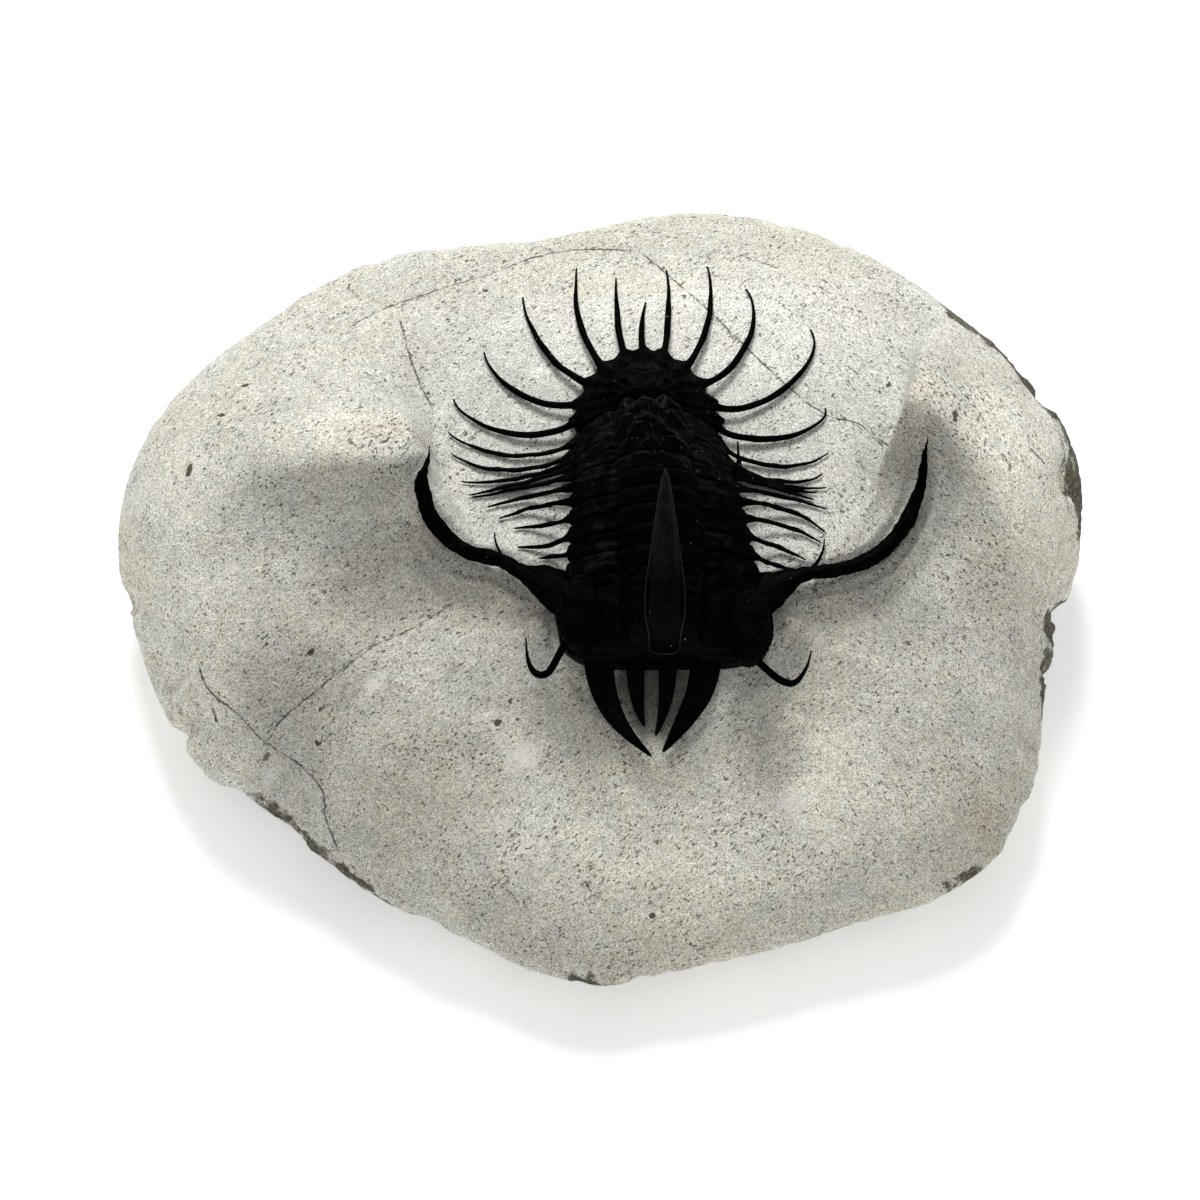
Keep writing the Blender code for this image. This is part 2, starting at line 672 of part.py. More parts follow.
def build_head(material):
    """The head shield with its eyes, horn, fork and spines, one solid."""
    top, bottom = [], []
    for r in range(HEAD_ROWS + 1):
        v = math.sin(0.5 * math.pi * r / HEAD_ROWS)
        across = [math.sin(0.5 * math.pi * (2.0 * c / HEAD_COLUMNS - 1.0)) for c in range(HEAD_COLUMNS + 1)]
        row = [head_point(u, v) for u in across]
        top.append(row)
        bottom.append([Vector((p.x, p.y, stone_top(p.x, p.y) + HEAD_LIFT)) for p in row])
    head = add_object("cephalon", slab(top, bottom), material)
    shapes = [eye(1), eye(-1), horn()] + fork_prongs()
    for side in (1, -1):
        shapes += genal_spine(side)
        shapes.append(front_spine(side))
    fuse(head, shapes)


def clear_scene():
    """Remove whatever the file holds."""
    for item in list(bpy.data.objects):
        bpy.data.objects.remove(item, do_unlink=True)


def main():
    """Build the stone and the fossil on it."""
    clear_scene()
    limestone = make_material("limestone", (0.50, 0.48, 0.42), 0.95)
    shell = make_material("fossil_shell", (0.012, 0.011, 0.010), 0.35)
    build_stone(limestone)
    build_head(shell)
    for number in range(1, SEGMENTS + 1):
        build_segment(number, shell)
    build_tail(shell)


main()
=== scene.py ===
"""Dressed model of a spiny trilobite fossil, prepared in relief on its limestone nodule.

Forms are worked out in millimetres and turned to metres when a mesh is made. The head
points along -Y and the tail along +Y, +X is the right of the picture, and +Z is up. The
origin is the middle of the flat spot that the stone rests on.
"""

from __future__ import annotations

import logging
import math
from collections.abc import Callable, Iterable, Sequence
from dataclasses import dataclass, field
from enum import Enum
from functools import cached_property
from typing import Any

import bmesh
import bpy
import numpy as np
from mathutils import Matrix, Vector, noise

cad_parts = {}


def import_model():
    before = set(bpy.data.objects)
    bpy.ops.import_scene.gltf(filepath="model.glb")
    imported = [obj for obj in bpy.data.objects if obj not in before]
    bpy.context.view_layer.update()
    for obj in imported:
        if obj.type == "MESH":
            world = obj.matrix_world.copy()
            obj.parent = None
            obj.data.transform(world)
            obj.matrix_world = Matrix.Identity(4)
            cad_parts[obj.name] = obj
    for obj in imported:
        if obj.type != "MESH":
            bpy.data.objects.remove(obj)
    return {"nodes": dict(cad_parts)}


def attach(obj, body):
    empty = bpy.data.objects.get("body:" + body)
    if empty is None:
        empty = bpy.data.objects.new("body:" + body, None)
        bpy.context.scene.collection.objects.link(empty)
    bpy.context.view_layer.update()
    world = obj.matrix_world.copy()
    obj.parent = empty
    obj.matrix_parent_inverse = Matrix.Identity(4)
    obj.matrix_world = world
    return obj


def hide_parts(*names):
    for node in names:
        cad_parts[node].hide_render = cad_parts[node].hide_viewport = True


MM = 0.001
WHITE = (1.0, 1.0, 1.0, 1.0)

Array = np.ndarray
Places = tuple[tuple[float, float], ...]
Material = bpy.types.Material
Mesh = bpy.types.Mesh
Node = bpy.types.Node
Piece = bpy.types.Object
log = logging.getLogger("trilobite")


class Slot(Enum):
    """The record's material slots."""

    STONE = "limestone"
    SHELL = "fossil_shell"


class Side(Enum):
    """Left and right of the fossil as it is seen from the head, along X."""

    LEFT = -1
    RIGHT = 1


def mix(a: Any, b: Any, share: Any) -> Any:
    """The value a share of the way from a to b."""
    return a + (b - a) * share


def ease(low: float, high: float, value: Any) -> Any:
    """Ease from 0 at low to 1 at high."""
    t = np.clip((value - low) / (high - low), 0.0, 1.0)
    return t * t * (3.0 - 2.0 * t)


def hump(value: Any, middle: Any, spread: float) -> Any:
    """A bell-shaped hump: 1 at the middle, falling off over the spread."""
    return np.exp(-((value - middle) / spread) ** 2)


def soft_min(a: Any, b: Any, rounding: float) -> Any:
    """The lower of two heights, with the crease between them rounded."""
    near = np.maximum(rounding - np.abs(a - b), 0.0) / rounding
    return np.minimum(a, b) - near * near * rounding / 4.0


def linear(code: str) -> tuple[float, float, float, float]:
    """Turn an sRGB hex colour into linear values.

    Args:
        code: Colour such as "#C8C4B8".

    Returns:
        Linear red, green and blue, and an alpha of 1.
    """
    channels = [int(code[i:i + 2], 16) / 255.0 for i in (1, 3, 5)]
    values = [c / 12.92 if c <= 0.04045 else ((c + 0.055) / 1.055) ** 2.4 for c in channels]
    return (*values, 1.0)


def between(keys: Sequence[Any], t: Any) -> Any:
    """A smooth curve through four keys, at a share of the way from the second to the third."""
    a, b, c, d = keys
    bend = 2.0 * a - 5.0 * b + 4.0 * c - d
    return b + 0.5 * t * (c - a + t * (bend + t * (3.0 * (b - c) + d - a)))


def smooth_curve(keys: Sequence[Sequence[float]], count: int) -> Array:
    """Read points from a smooth curve through a few keys.

    Args:
        keys: Points that the curve passes through.
        count: Number of steps along it.

    Returns:
        An array of count + 1 points.
    """
    knots = np.asarray(keys, dtype=float)
    knots = np.vstack([2.0 * knots[0] - knots[1], knots, 2.0 * knots[-1] - knots[-2]])
    place = np.linspace(0.0, len(knots) - 3.0, count + 1)
    i = np.minimum(place.astype(int), len(knots) - 4)
    return between([knots[i + n] for n in range(4)], (place - i)[:, None])


def path_distance(x: Array, y: Array, path: Array) -> tuple[Array, Array, Array]:
    """Measure how far points in plan are from a path.

    Args:
        x: X of the points.
        y: Y of the points.
        path: Points of the path; only X and Y are read.

    Returns:
        The distance, the side of the path as a sign, and the nearest place along it
        from 0 to 1.
    """
    nearest = np.full(np.shape(x), np.inf)
    side = np.ones(np.shape(x))
    along = np.zeros(np.shape(x))
    steps = len(path) - 1
    for n in range(steps):
        ax, ay = path[n][:2]
        dx, dy = path[n + 1][0] - ax, path[n + 1][1] - ay
        t = np.clip(((x - ax) * dx + (y - ay) * dy) / (dx * dx + dy * dy), 0.0, 1.0)
        ox, oy = x - ax - t * dx, y - ay - t * dy
        distance = np.hypot(ox, oy)
        closer = distance < nearest
        nearest = np.where(closer, distance, nearest)
        side = np.where(closer, np.where(dx * oy - dy * ox < 0.0, -1.0, 1.0), side)
        along = np.where(closer, (n + t) / steps, along)
    return nearest, side, along


def within(x: Array, y: Array, loop: Array) -> Array:
    """Tell which points in plan lie inside a closed loop."""
    inside = np.zeros(np.shape(x), dtype=bool)
    for (ax, ay), (bx, by) in zip(loop, np.roll(loop, -1, axis=0)):
        if ay != by:
            crosses = (ay > y) != (by > y)
            inside ^= crosses & (x < (bx - ax) * (y - ay) / (by - ay) + ax)
    return inside


def rough(points: Array, size: float, octaves: int, seed: float) -> Array:
    """Read fractal noise at points.

    Args:
        points: Places in millimetres, one row each.
        size: Width of the largest lumps, in millimetres.
        octaves: Number of finer layers.
        seed: Offset that picks another piece of the same noise.

    Returns:
        One value for each point, mostly between -1 and 1.
    """
    shift = Vector((seed, -2.0 * seed, 3.0 * seed))
    return np.array([noise.fractal(Vector(p) / size + shift, 0.9, 2.0, octaves) for p in points])


@dataclass(frozen=True)
class Ridge:
    """A rounded ridge, or a furrow where its height is negative, across a running place."""

    height: float
    middle: float
    spread: float

    def at(self, value: Any) -> Any:
        """Its height at a place."""
        return self.height * hump(value, self.middle, self.spread)


@dataclass(frozen=True)
class Grain:
    """One layer of unevenness: its height, the width of its lumps, its octaves and its seed."""

    height: float
    size: float
    octaves: int
    seed: float

    def at(self, points: Array) -> Array:
        """Its height at points."""
        return self.height * rough(points, self.size, self.octaves, self.seed)


def grid_faces(rows: int, columns: int, start: int = 0,
               wrap: bool = False) -> list[tuple[int, ...]]:
    """Quads of a grid of points stored row by row.

    Args:
        rows: Number of rows of points.
        columns: Number of points in a row.
        start: Index of the first point.
        wrap: Whether the last column joins the first.

    Returns:
        The faces as tuples of point indices.
    """
    faces = []
    for r in range(rows - 1):
        for c in range(columns if wrap else columns - 1):
            d = (c + 1) % columns
            low, high = start + r * columns, start + (r + 1) * columns
            faces.append((low + c, low + d, high + d, high + c))
    return faces


@dataclass
class Shape:
    """Points in millimetres and the faces that join them."""

    points: Array
    faces: list[tuple[int, ...]]

    @staticmethod
    def joined(shapes: Iterable[Shape]) -> Shape:
        """Put several shapes in one, unconnected."""
        points, faces, start = [], [], 0
        for shape in shapes:
            points.append(shape.points)
            faces.extend(tuple(v + start for v in face) for face in shape.faces)
            start += len(shape.points)
        return Shape(np.vstack(points), faces)

    @staticmethod
    def loft(rings: Sequence[Array], start: Array | None, end: Array | None) -> Shape:
        """Join closed rings of points into one closed body.

        Args:
            rings: Rings with the same number of points each.
            start: Point that closes the first ring, or None for a flat cap.
            end: Point that closes the last ring, or None for a flat cap.

        Returns:
            The closed shape.
        """
        sides = len(rings[0])
        points = [np.vstack(rings)]
        faces = grid_faces(len(rings), sides, wrap=True)
        total = len(rings) * sides
        for pole, first, flip in ((start, 0, True), (end, total - sides, False)):
            ring = list(range(first, first + sides))
            if pole is None:
                faces.append(tuple(reversed(ring)) if flip else tuple(ring))
                continue
            points.append(np.asarray(pole)[None, :])
            for a, b in zip(ring, ring[1:] + ring[:1]):
                faces.append((b, a, total) if flip else (a, b, total))
            total += 1
        return Shape(np.vstack(points), faces)

    @staticmethod
    def slab(top: Array, bottom: Array) -> Shape:
        """A curved plate from a grid of top points and a grid of bottom points.

        Args:
            top: Array of rows, columns and 3.
            bottom: The same for the underside.

        Returns:
            The closed shape.
        """
        rows, columns = top.shape[:2]
        below = rows * columns
        faces = grid_faces(rows, columns)
        faces += [tuple(reversed(face)) for face in grid_faces(rows, columns, below)]
        edge = list(range(columns))
        edge += [r * columns + columns - 1 for r in range(1, rows)]
        edge += [(rows - 1) * columns + c for c in range(columns - 2, -1, -1)]
        edge += [r * columns for r in range(rows - 2, 0, -1)]
        faces += [(a, a + below, b + below, b) for a, b in zip(edge, edge[1:] + edge[:1])]
        return Shape(np.vstack([top.reshape(-1, 3), bottom.reshape(-1, 3)]), faces)

    def mesh(self, name: str) -> Mesh:
        """Make a Blender mesh in metres with its doubles merged and its faces outward."""
        mesh = bpy.data.meshes.new(name)
        mesh.from_pydata((self.points * MM).tolist(), [], self.faces)
        body = bmesh.new()
        body.from_mesh(mesh)
        bmesh.ops.remove_doubles(body, verts=body.verts, dist=1e-7)
        bmesh.ops.recalc_face_normals(body, faces=body.faces)
        body.to_mesh(mesh)
        body.free()
        mesh.shade_smooth()
        return mesh


def mark(mesh: Mesh, name: str, rule: Callable[[Array], Array]) -> None:
    """Give each point a value that the finish reads by name, from a rule on places in mm."""
    places = np.empty(3 * len(mesh.vertices))
    mesh.vertices.foreach_get("co", places)
    values = np.ascontiguousarray(rule(places.reshape(-1, 3) / MM), dtype=np.float32)
    mesh.attributes.new(name, "FLOAT", "POINT").data.foreach_set("value", values)


def put(name: str, mesh: Mesh, finish: Material, node: str) -> Piece:
    """Place a finished mesh on the frame.

    Args:
        name: Name of the piece.
        mesh: Mesh in metres, in its place.
        finish: Material of the whole piece.
        node: Node of the frame that the piece stands for.

    Returns:
        The new object.
    """
    mesh.name = name
    mesh.materials.clear()
    mesh.materials.append(finish)
    piece = bpy.data.objects.new(name, mesh)
    bpy.context.scene.collection.objects.link(piece)
    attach(piece, "root")
    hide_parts(node)
    log.info("%s: %d triangles", name, sum(len(p.vertices) - 2 for p in mesh.polygons))
    return piece


def feed(tree: bpy.types.NodeTree, node: Node, inputs: dict[int | str, Any]) -> None:
    """Set or link inputs of a node.

    Args:
        tree: Tree that holds the node.
        node: The node.
        inputs: Socket by name or number, and a value, a socket or a node whose first
            output is linked.
    """
    for key, value in inputs.items():
        source = value.outputs[0] if isinstance(value, Node) else value
        if isinstance(source, bpy.types.NodeSocket):
            tree.links.new(source, node.inputs[key])
        else:
            node.inputs[key].default_value = source


def add_node(tree: bpy.types.NodeTree, kind: str, settings: dict[str, Any] | None = None,
             inputs: dict[int | str, Any] | None = None) -> Node:
    """Add a node.

    Args:
        tree: Tree that gets the node.
        kind: Blender's type name of the node.
        settings: Attributes to set on the node.
        inputs: What its inputs are fed with.

    Returns:
        The new node.
    """
    node = tree.nodes.new(kind)
    for name, value in (settings or {}).items():
        setattr(node, name, value)
    feed(tree, node, inputs or {})
    return node


class Surface:
    """A material with its surface shader, and short ways to add the nodes of its colours."""

    def __init__(self, name: str) -> None:
        """Start the material under its name."""
        self.material = bpy.data.materials.new(name)
        self.material.use_nodes = True
        self.tree = self.material.node_tree

    def add(self, kind: str, inputs: dict[int | str, Any], **settings: Any) -> Node:
        """Add a node of a kind with its inputs and settings."""
        return add_node(self.tree, kind, settings, inputs)

    @cached_property
    def place(self) -> bpy.types.NodeSocket:
        """Places in the piece's own coordinates."""
        return self.add("ShaderNodeTexCoord", {}).outputs["Object"]

    def lumps(self, size: float, detail: float, harsh: float = 0.55, vector: Any = None) -> Node:
        """Noise with lumps of a size in millimetres."""
        return self.add("ShaderNodeTexNoise",
                        {"Vector": self.place if vector is None else vector,
                         "Scale": 1.0 / (size * MM), "Detail": detail, "Roughness": harsh})

    def ramp(self, value: Any, low: float, high: float, start: float, end: float,
             smooth: bool = False) -> Node:
        """Turn the range from low to high into the range from start to end."""
        return self.add("ShaderNodeMapRange", {0: value, 1: low, 2: high, 3: start, 4: end},
                        interpolation_type="SMOOTHSTEP" if smooth else "LINEAR")

    def maths(self, operation: str, a: Any, b: Any) -> Node:
        """Reckon with two values."""
        return self.add("ShaderNodeMath", {0: a, 1: b}, operation=operation)

    def wavering(self, value: Any, size: float, detail: float, amount: float,
                 harsh: float = 0.55) -> Node:
        """A value made uneven by noise about zero."""
        noise_part = self.maths("SUBTRACT", self.lumps(size, detail, harsh), 0.5)
        return self.maths("ADD", value, self.maths("MULTIPLY", noise_part, amount))

    def blend(self, share: Any, a: Any, b: Any, kind: str = "MIX") -> bpy.types.NodeSocket:
        """Lay colour b over colour a by a share; a string is an sRGB hex code."""
        first, second = (linear(part) if isinstance(part, str) else part for part in (a, b))
        node = self.add("ShaderNodeMix", {0: share, 6: first, 7: second},
                        data_type="RGBA", blend_type=kind)
        return node.outputs[2]

    def mask(self, name: str) -> bpy.types.NodeSocket:
        """Read one of the mesh's marks."""
        return self.add("ShaderNodeAttribute", {}, attribute_name=name).outputs["Fac"]

    def bump(self, strength: float, depth: float, height: Any) -> Node:
        """Fine relief of a depth in millimetres."""
        return self.add("ShaderNodeBump",
                        {"Strength": strength, "Distance": depth * MM, "Height": height})

    def finished(self, inputs: dict[str, Any]) -> Material:
        """Feed the surface shader and hand over the material."""
        feed(self.tree, self.tree.nodes["Principled BSDF"], inputs)
        return self.material


def grow(name: str, source: Mesh, tree: bpy.types.NodeTree,
         values: dict[str, Any]) -> Mesh:
    """Run a Geometry Nodes tree on a mesh and keep the result as a plain mesh.

    Args:
        name: Name of the result.
        source: Mesh that the tree reads.
        tree: Geometry Nodes tree with named inputs.
        values: Input name and value.

    Returns:
        The evaluated mesh, free of modifiers.
    """
    carrier = bpy.data.objects.new(name, source)
    bpy.context.scene.collection.objects.link(carrier)
    modifier = carrier.modifiers.new(name, "NODES")
    modifier.node_group = tree
    sockets = {item.name: item.identifier for item in tree.interface.items_tree
               if item.in_out == "INPUT"}
    for key, value in values.items():
        modifier[sockets[key]] = value
    graph = bpy.context.evaluated_depsgraph_get()
    mesh = bpy.data.meshes.new_from_object(carrier.evaluated_get(graph))
    carrier.modifiers.clear()
    bpy.data.objects.remove(carrier)
    mesh.name = name
    mesh.shade_smooth()
    return mesh


def new_tree(name: str, inputs: dict[str, tuple[str, Any]]) -> tuple[Any, Node, Node]:
    """A Geometry Nodes tree with a geometry in and out and named inputs.

    Args:
        name: Name of the tree.
        inputs: Input name, and its socket type and default value.

    Returns:
        The tree, its input node and its output node.
    """
    tree = bpy.data.node_groups.new(name, "GeometryNodeTree")
    tree.interface.new_socket("Geometry", in_out="INPUT", socket_type="NodeSocketGeometry")
    tree.interface.new_socket("Geometry", in_out="OUTPUT", socket_type="NodeSocketGeometry")
    for label, (kind, value) in inputs.items():
        socket = tree.interface.new_socket(label, in_out="INPUT", socket_type=kind)
        if value is not None:
            socket.default_value = value
    return tree, add_node(tree, "NodeGroupInput"), add_node(tree, "NodeGroupOutput")


def close_tree(tree: bpy.types.NodeTree, start: Node, end: Node, geometry: Node) -> None:
    """End a tree with plain geometry in its material."""
    real = add_node(tree, "GeometryNodeRealizeInstances", None, {"Geometry": geometry})
    dressed = add_node(tree, "GeometryNodeSetMaterial", None,
                       {"Geometry": real, "Material": start.outputs["Material"]})
    feed(tree, end, {0: dressed})


@dataclass(frozen=True)
class BodyForm:
    """The long arch of the body: k counts segments from 1, and u runs from -1 to 1 across."""

    segments: int = 11
    midline_head: float = 9.4
    midline_tail: float = 6.6
    bend: tuple[float, float] = (-12.0, 34.0)
    axis_start: float = -4.8
    pitch: float = 3.0
    pitch_loss: float = 0.035
    margin_start: float = -3.5
    margin_pitch: float = 2.9
    crowding: float = 0.625
    crowding_start: float = 6.5
    margin_z: float = 36.2
    margin_swell: float = 1.6
    half_width_front: float = 14.3
    half_width_loss: float = 0.34
    crest_y: float = 13.0
    crest_z: float = 48.0
    crest_fall_front: float = 0.012
    crest_fall_back: float = 0.05
    axial_width: float = 0.46
    axial_share: float = 0.32
    tail_front: float = 20.6
    tail_length: float = 14.8
    tail_half_width: float = 10.8
    tail_end_z: float = 36.6
    worn_from: tuple[float, float] = (0.40, 0.50)
    worn_to: tuple[float, float] = (0.76, 0.88)
    worn_share: float = 0.42
    worn_patches: Grain = Grain(1.0, 3.0, 3, 97.0)

    def midline(self, y: Any) -> Any:
        """X of the midline at a place along Y."""
        return mix(self.midline_head, self.midline_tail, ease(*self.bend, y))

    def crest(self, y: Any) -> Any:
        """Height of the shell's top on the midline at a place along Y."""
        fall = np.where(np.asarray(y) < self.crest_y, self.crest_fall_front, self.crest_fall_back)
        return self.crest_z - fall * (y - self.crest_y) ** 2

    def axis(self, k: Any) -> tuple[Any, Any]:
        """Place along Y and height on the midline at segment number k."""
        y = self.axis_start + self.pitch * (k - 1.0) - self.pitch_loss * (k - 1.0) ** 2
        return y, self.crest(y)

    def margin(self, k: Any) -> tuple[Any, Any]:
        """Place along Y and height of the side edge at segment number k."""
        past = k - self.crowding_start
        crowded = self.crowding * (past + np.hypot(past, 1.0))
        y = self.margin_start + self.margin_pitch * (k - 1.0) - crowded
        return y, self.margin_z + self.margin_swell * hump(k, 4.5, 3.0)

    def half_width(self, k: Any) -> Any:
        """Half the width of the shell at segment number k."""
        return self.half_width_front - self.half_width_loss * k

    def number_at(self, y: Any) -> Any:
        """Segment number whose side edge is at a place along Y."""
        numbers = np.linspace(0.0, self.segments + 1.0, 60)
        return np.interp(y, self.margin(numbers)[0], numbers)

    def lobes(self, u: Any) -> Any:
        """The three-lobed cross-section: 1 on the midline and 0 at the side edge."""
        u = np.minimum(np.abs(u), 1.0)
        side = (1.0 - u ** 2.6) ** 0.85
        axial = np.maximum(1.0 - (u / self.axial_width) ** 2, 0.0) ** 0.6
        return (1.0 - self.axial_share) * side + self.axial_share * axial

    def point(self, k: Any, u: Any) -> Array:
        """A point of the shell's top; k and u may be arrays of one shape."""
        drop = 1.0 - self.lobes(u)
        axis, margin = self.axis(k), self.margin(k)
        y = mix(axis[0], margin[0], drop)
        x = self.midline(y) + u * self.half_width(k)
        return np.stack(np.broadcast_arrays(x, y, mix(axis[1], margin[1], drop)), axis=-1)

    def grazed(self, points: Array) -> Array:
        """Share of shell rubbed brown by wear at points: patches on the side lobes."""
        y = points[:, 1]
        out = np.abs(points[:, 0] - self.midline(y)) / self.half_width(self.number_at(y))
        lobes = ease(*self.worn_from, out) * (1.0 - ease(*self.worn_to, out))
        return self.worn_share * lobes * ease(-0.1, 0.5, self.worn_patches.at(points))

    def normal(self, k: Any, u: Any) -> Array:
        """The outward direction of the shell."""
        right, left = np.minimum(u + 0.02, 1.0), np.maximum(u - 0.02, -1.0)
        across = self.point(k, right) - self.point(k, left)
        ahead = self.point(k + 0.1, u) - self.point(k - 0.1, u)
        up = np.cross(across, ahead)
        return up / np.linalg.norm(up, axis=-1, keepdims=True)


@dataclass(frozen=True)
class Spot:
    """A marking on the stone: its middle in plan, its half sizes and its turn in degrees."""

    x: float
    y: float
    long: float
    wide: float
    turn: float = 0.0

    def closeness(self, x: Array, y: Array) -> Array:
        """1 in the spot's middle, 0 on its outline and negative outside."""
        c, s = math.cos(math.radians(self.turn)), math.sin(math.radians(self.turn))
        dx, dy = x - self.x, y - self.y
        return 1.0 - np.hypot((dx * c + dy * s) / self.long, (dy * c - dx * s) / self.wide)


@dataclass(frozen=True)
class Ground:
    """Stretches of the stone painted lighter as painted light, or darker as painted shade where the
    strength is negative.
    """

    strength: float
    span: float
    spots: tuple[Spot, ...]

    def shade(self, x: Array, y: Array) -> Array:
        """How much lighter it makes places in plan."""
        return self.strength * ease(0.0, self.span, nearest(self.spots, x, y))


def nearest(spots: Iterable[Spot], x: Array, y: Array) -> Array:
    """Closeness of places in plan to the nearest of some spots."""
    return np.max([spot.closeness(x, y) for spot in spots], axis=0)


@dataclass
class Nodule:
    """The limestone nodule, with the pocket that was dug round the fossil."""

    body: BodyForm
    outline: tuple[float, ...] = (
        69.8, 74.5, 77.9, 75.6, 73.4, 73, 72.8, 71.8, 69.4, 65.4, 63.6, 65.2, 68.4, 69.6, 70.2, 73,
        75.8, 74.8, 70.8, 67.6, 64.4, 59.2, 55.6, 54.3, 53.7, 53.6, 55.9, 57.4, 56.3, 56.6, 58.2,
        61.2, 66.7, 69.9, 69.5, 68)
    rest: tuple[float, float] = (35.0, 25.0)
    girth: tuple[float, float] = (9.0, 16.0)
    edge_rise: tuple[float, float] = (33.0, 60.0)
    edge_bulge: tuple[float, float] = (0.72, 0.52)
    edge_rounding: float = 8.0
    crown_z: float = 35.5
    front_edge: float = -4.0
    front_slope: float = 0.40
    back_edge: float = 47.0
    back_slope: float = 0.30
    crown_rounding: float = 9.0
    # Crest of the two ridges in plan; each falls off steeply ahead and gently behind.
    ridge_line: Places = (
        (-80, 11), (-60, 12.2), (-40, 12.6), (-30, 12.8), (-20, 13.4), (0, 16), (34, 19.4),
        (42, 20.6), (47.5, 20.8), (51, 18.8), (54.5, 16.2), (58.2, 13), (61, 8.5), (63, 3.5),
        (65, -2), (80, -14))
    ridge_pinch: tuple[float, float, float] = (0.36, 46.5, 6.0)
    ridge_height: float = 9.5
    ridge_gain: float = 0.035
    ridge_reach: tuple[float, float] = (9.4, 24.0)
    ridge_sharpness: tuple[float, float] = (1.65, 2.0)
    ridge_ends: tuple[float, float] = (-72.0, 74.0)
    ridge_fade: float = 30.0
    # The dug pocket: its floor, and how its walls lean and steepen along Y.
    floor_z: float = 34.0
    floor_tilt: float = 0.03
    left_wall: tuple[float, float, float, float] = (-16.5, 0.5, 15.0, 0.15)
    right_wall: tuple[float, float, float] = (33.0, 0.70, 0.0085)
    left_steepness: Places = ((2, 0.9), (10, 1.8), (15, 3.2), (25, 0.7))
    right_steepness: Places = ((4, 1), (10, 2), (14, 8), (29, 8), (38, 0.8))
    wall_rounding: tuple[float, float] = (1.4, 2.6)
    wall_fades: tuple[float, float] = (17.0, 30.0)
    core_clearance: float = 1.75
    pedestal: float = 1.45
    pedestal_slope: float = 2.5
    groove_depth: float = 0.8
    groove_half_width: float = 2.1
    brow_left: Places = (
        (-60, -30), (-61, -14), (-62, -3), (-60, 6.5), (-53, 11.6), (-39, 12.4), (-27.5, 12.6))
    brow_right: Places = (
        (48, 19), (51, 17.4), (54.5, 14.8), (58, 11.6), (60.8, 6.5), (62.8, 0), (64, -12),
        (64, -30))
    head_front: Places = (
        (-7.5, -10), (-6, -16), (0, -22), (9, -29), (18, -22), (25, -16), (26.5, -10))
    behind_brink: Places = ((90, -30), (90, 90), (-90, 90), (-90, -30))
    bowl_depth: float = 2.8
    bowl_start: float = 0.9
    bowl_deepest: float = 5.5
    bowl_reach: tuple[float, float] = (9.0, 27.0)
    chips: tuple[float, float] = (2.0, 0.8)
    centre: tuple[float, float] = (8.0, 6.0)
    sectors: int = 420
    rings: int = 190
    under_rings: int = 36
    cheek_paths: list[Array] = field(default_factory=list)
    cracks: tuple[Places, ...] = (
        ((-50, -23.5), (-44, -20), (-37.5, -16), (-33, -12.5), (-29.5, -10.5), (-25, -7.5),
         (-20.5, -4.5)),
        ((-60, -11), (-58, -16), (-53, -20.5), (-50, -23.5), (-44, -27.5), (-41, -30.5),
         (-40.5, -33.5), (-38.5, -38)),
        ((-30.5, 41.5), (-28.5, 33.5), (-26.5, 28.5), (-25, 25.5)),
        ((-38.5, 38.5), (-30.5, 45), (-17, 51), (-11, 54.5), (-4.5, 56.5), (6, 56)),
        ((6, 56), (10.5, 50.5), (15, 45), (24, 34.5), (30, 28), (34.5, 24.5), (39, 23), (43, 18.5)),
        ((64, 17.5), (66.5, 16)),
        ((66, 30.5), (69, 24.5), (70.3, 18), (70.6, 12)),
        ((21.5, 55), (27.5, 51.5)))
    dark_marks: tuple[Spot, ...] = (
        Spot(-61, 13.5, 1.9, 0.7, 80), Spot(52.5, 18.6, 1.5, 0.7, 85),
        Spot(43.5, 30, 0.9, 0.5, 70), Spot(58, 24, 1, 0.6), Spot(51.5, 1.5, 0.8, 0.5),
        Spot(13, 46, 0.9, 0.6, 30), Spot(-15, -22.5, 0.9, 0.7), Spot(-53, 27.5, 1.1, 0.5, 20),
        Spot(-56.5, 22, 0.9, 0.6), Spot(-57.5, -19.5, 1.6, 0.5, 95),
        Spot(-49, -11.5, 0.9, 0.5, 60), Spot(-42.5, -13.5, 1, 0.6, 40),
        Spot(-49.5, -25.5, 1.3, 0.6, 10), Spot(-41.5, -25, 0.7, 0.6), Spot(7.5, -49.5, 0.8, 0.6),
        Spot(-17.5, 47.5, 0.7, 0.5))
    pale_marks: tuple[Spot, ...] = (
        Spot(-54.5, -1, 1.8, 1.3), Spot(-33, -18, 2.2, 1.5, 30), Spot(-11.5, -27.5, 3.4, 2.4, 20),
        Spot(-49, -27.5, 2, 1.2), Spot(28, -34, 3, 2))
    stains: tuple[Spot, ...] = (
        Spot(-21.5, -15, 1.7, 1.1, 20), Spot(30, -20, 1.7, 1.2, 60), Spot(59.5, -36, 9, 7),
        Spot(49, 21, 4.5, 3), Spot(-33, 17, 9, 4.5))
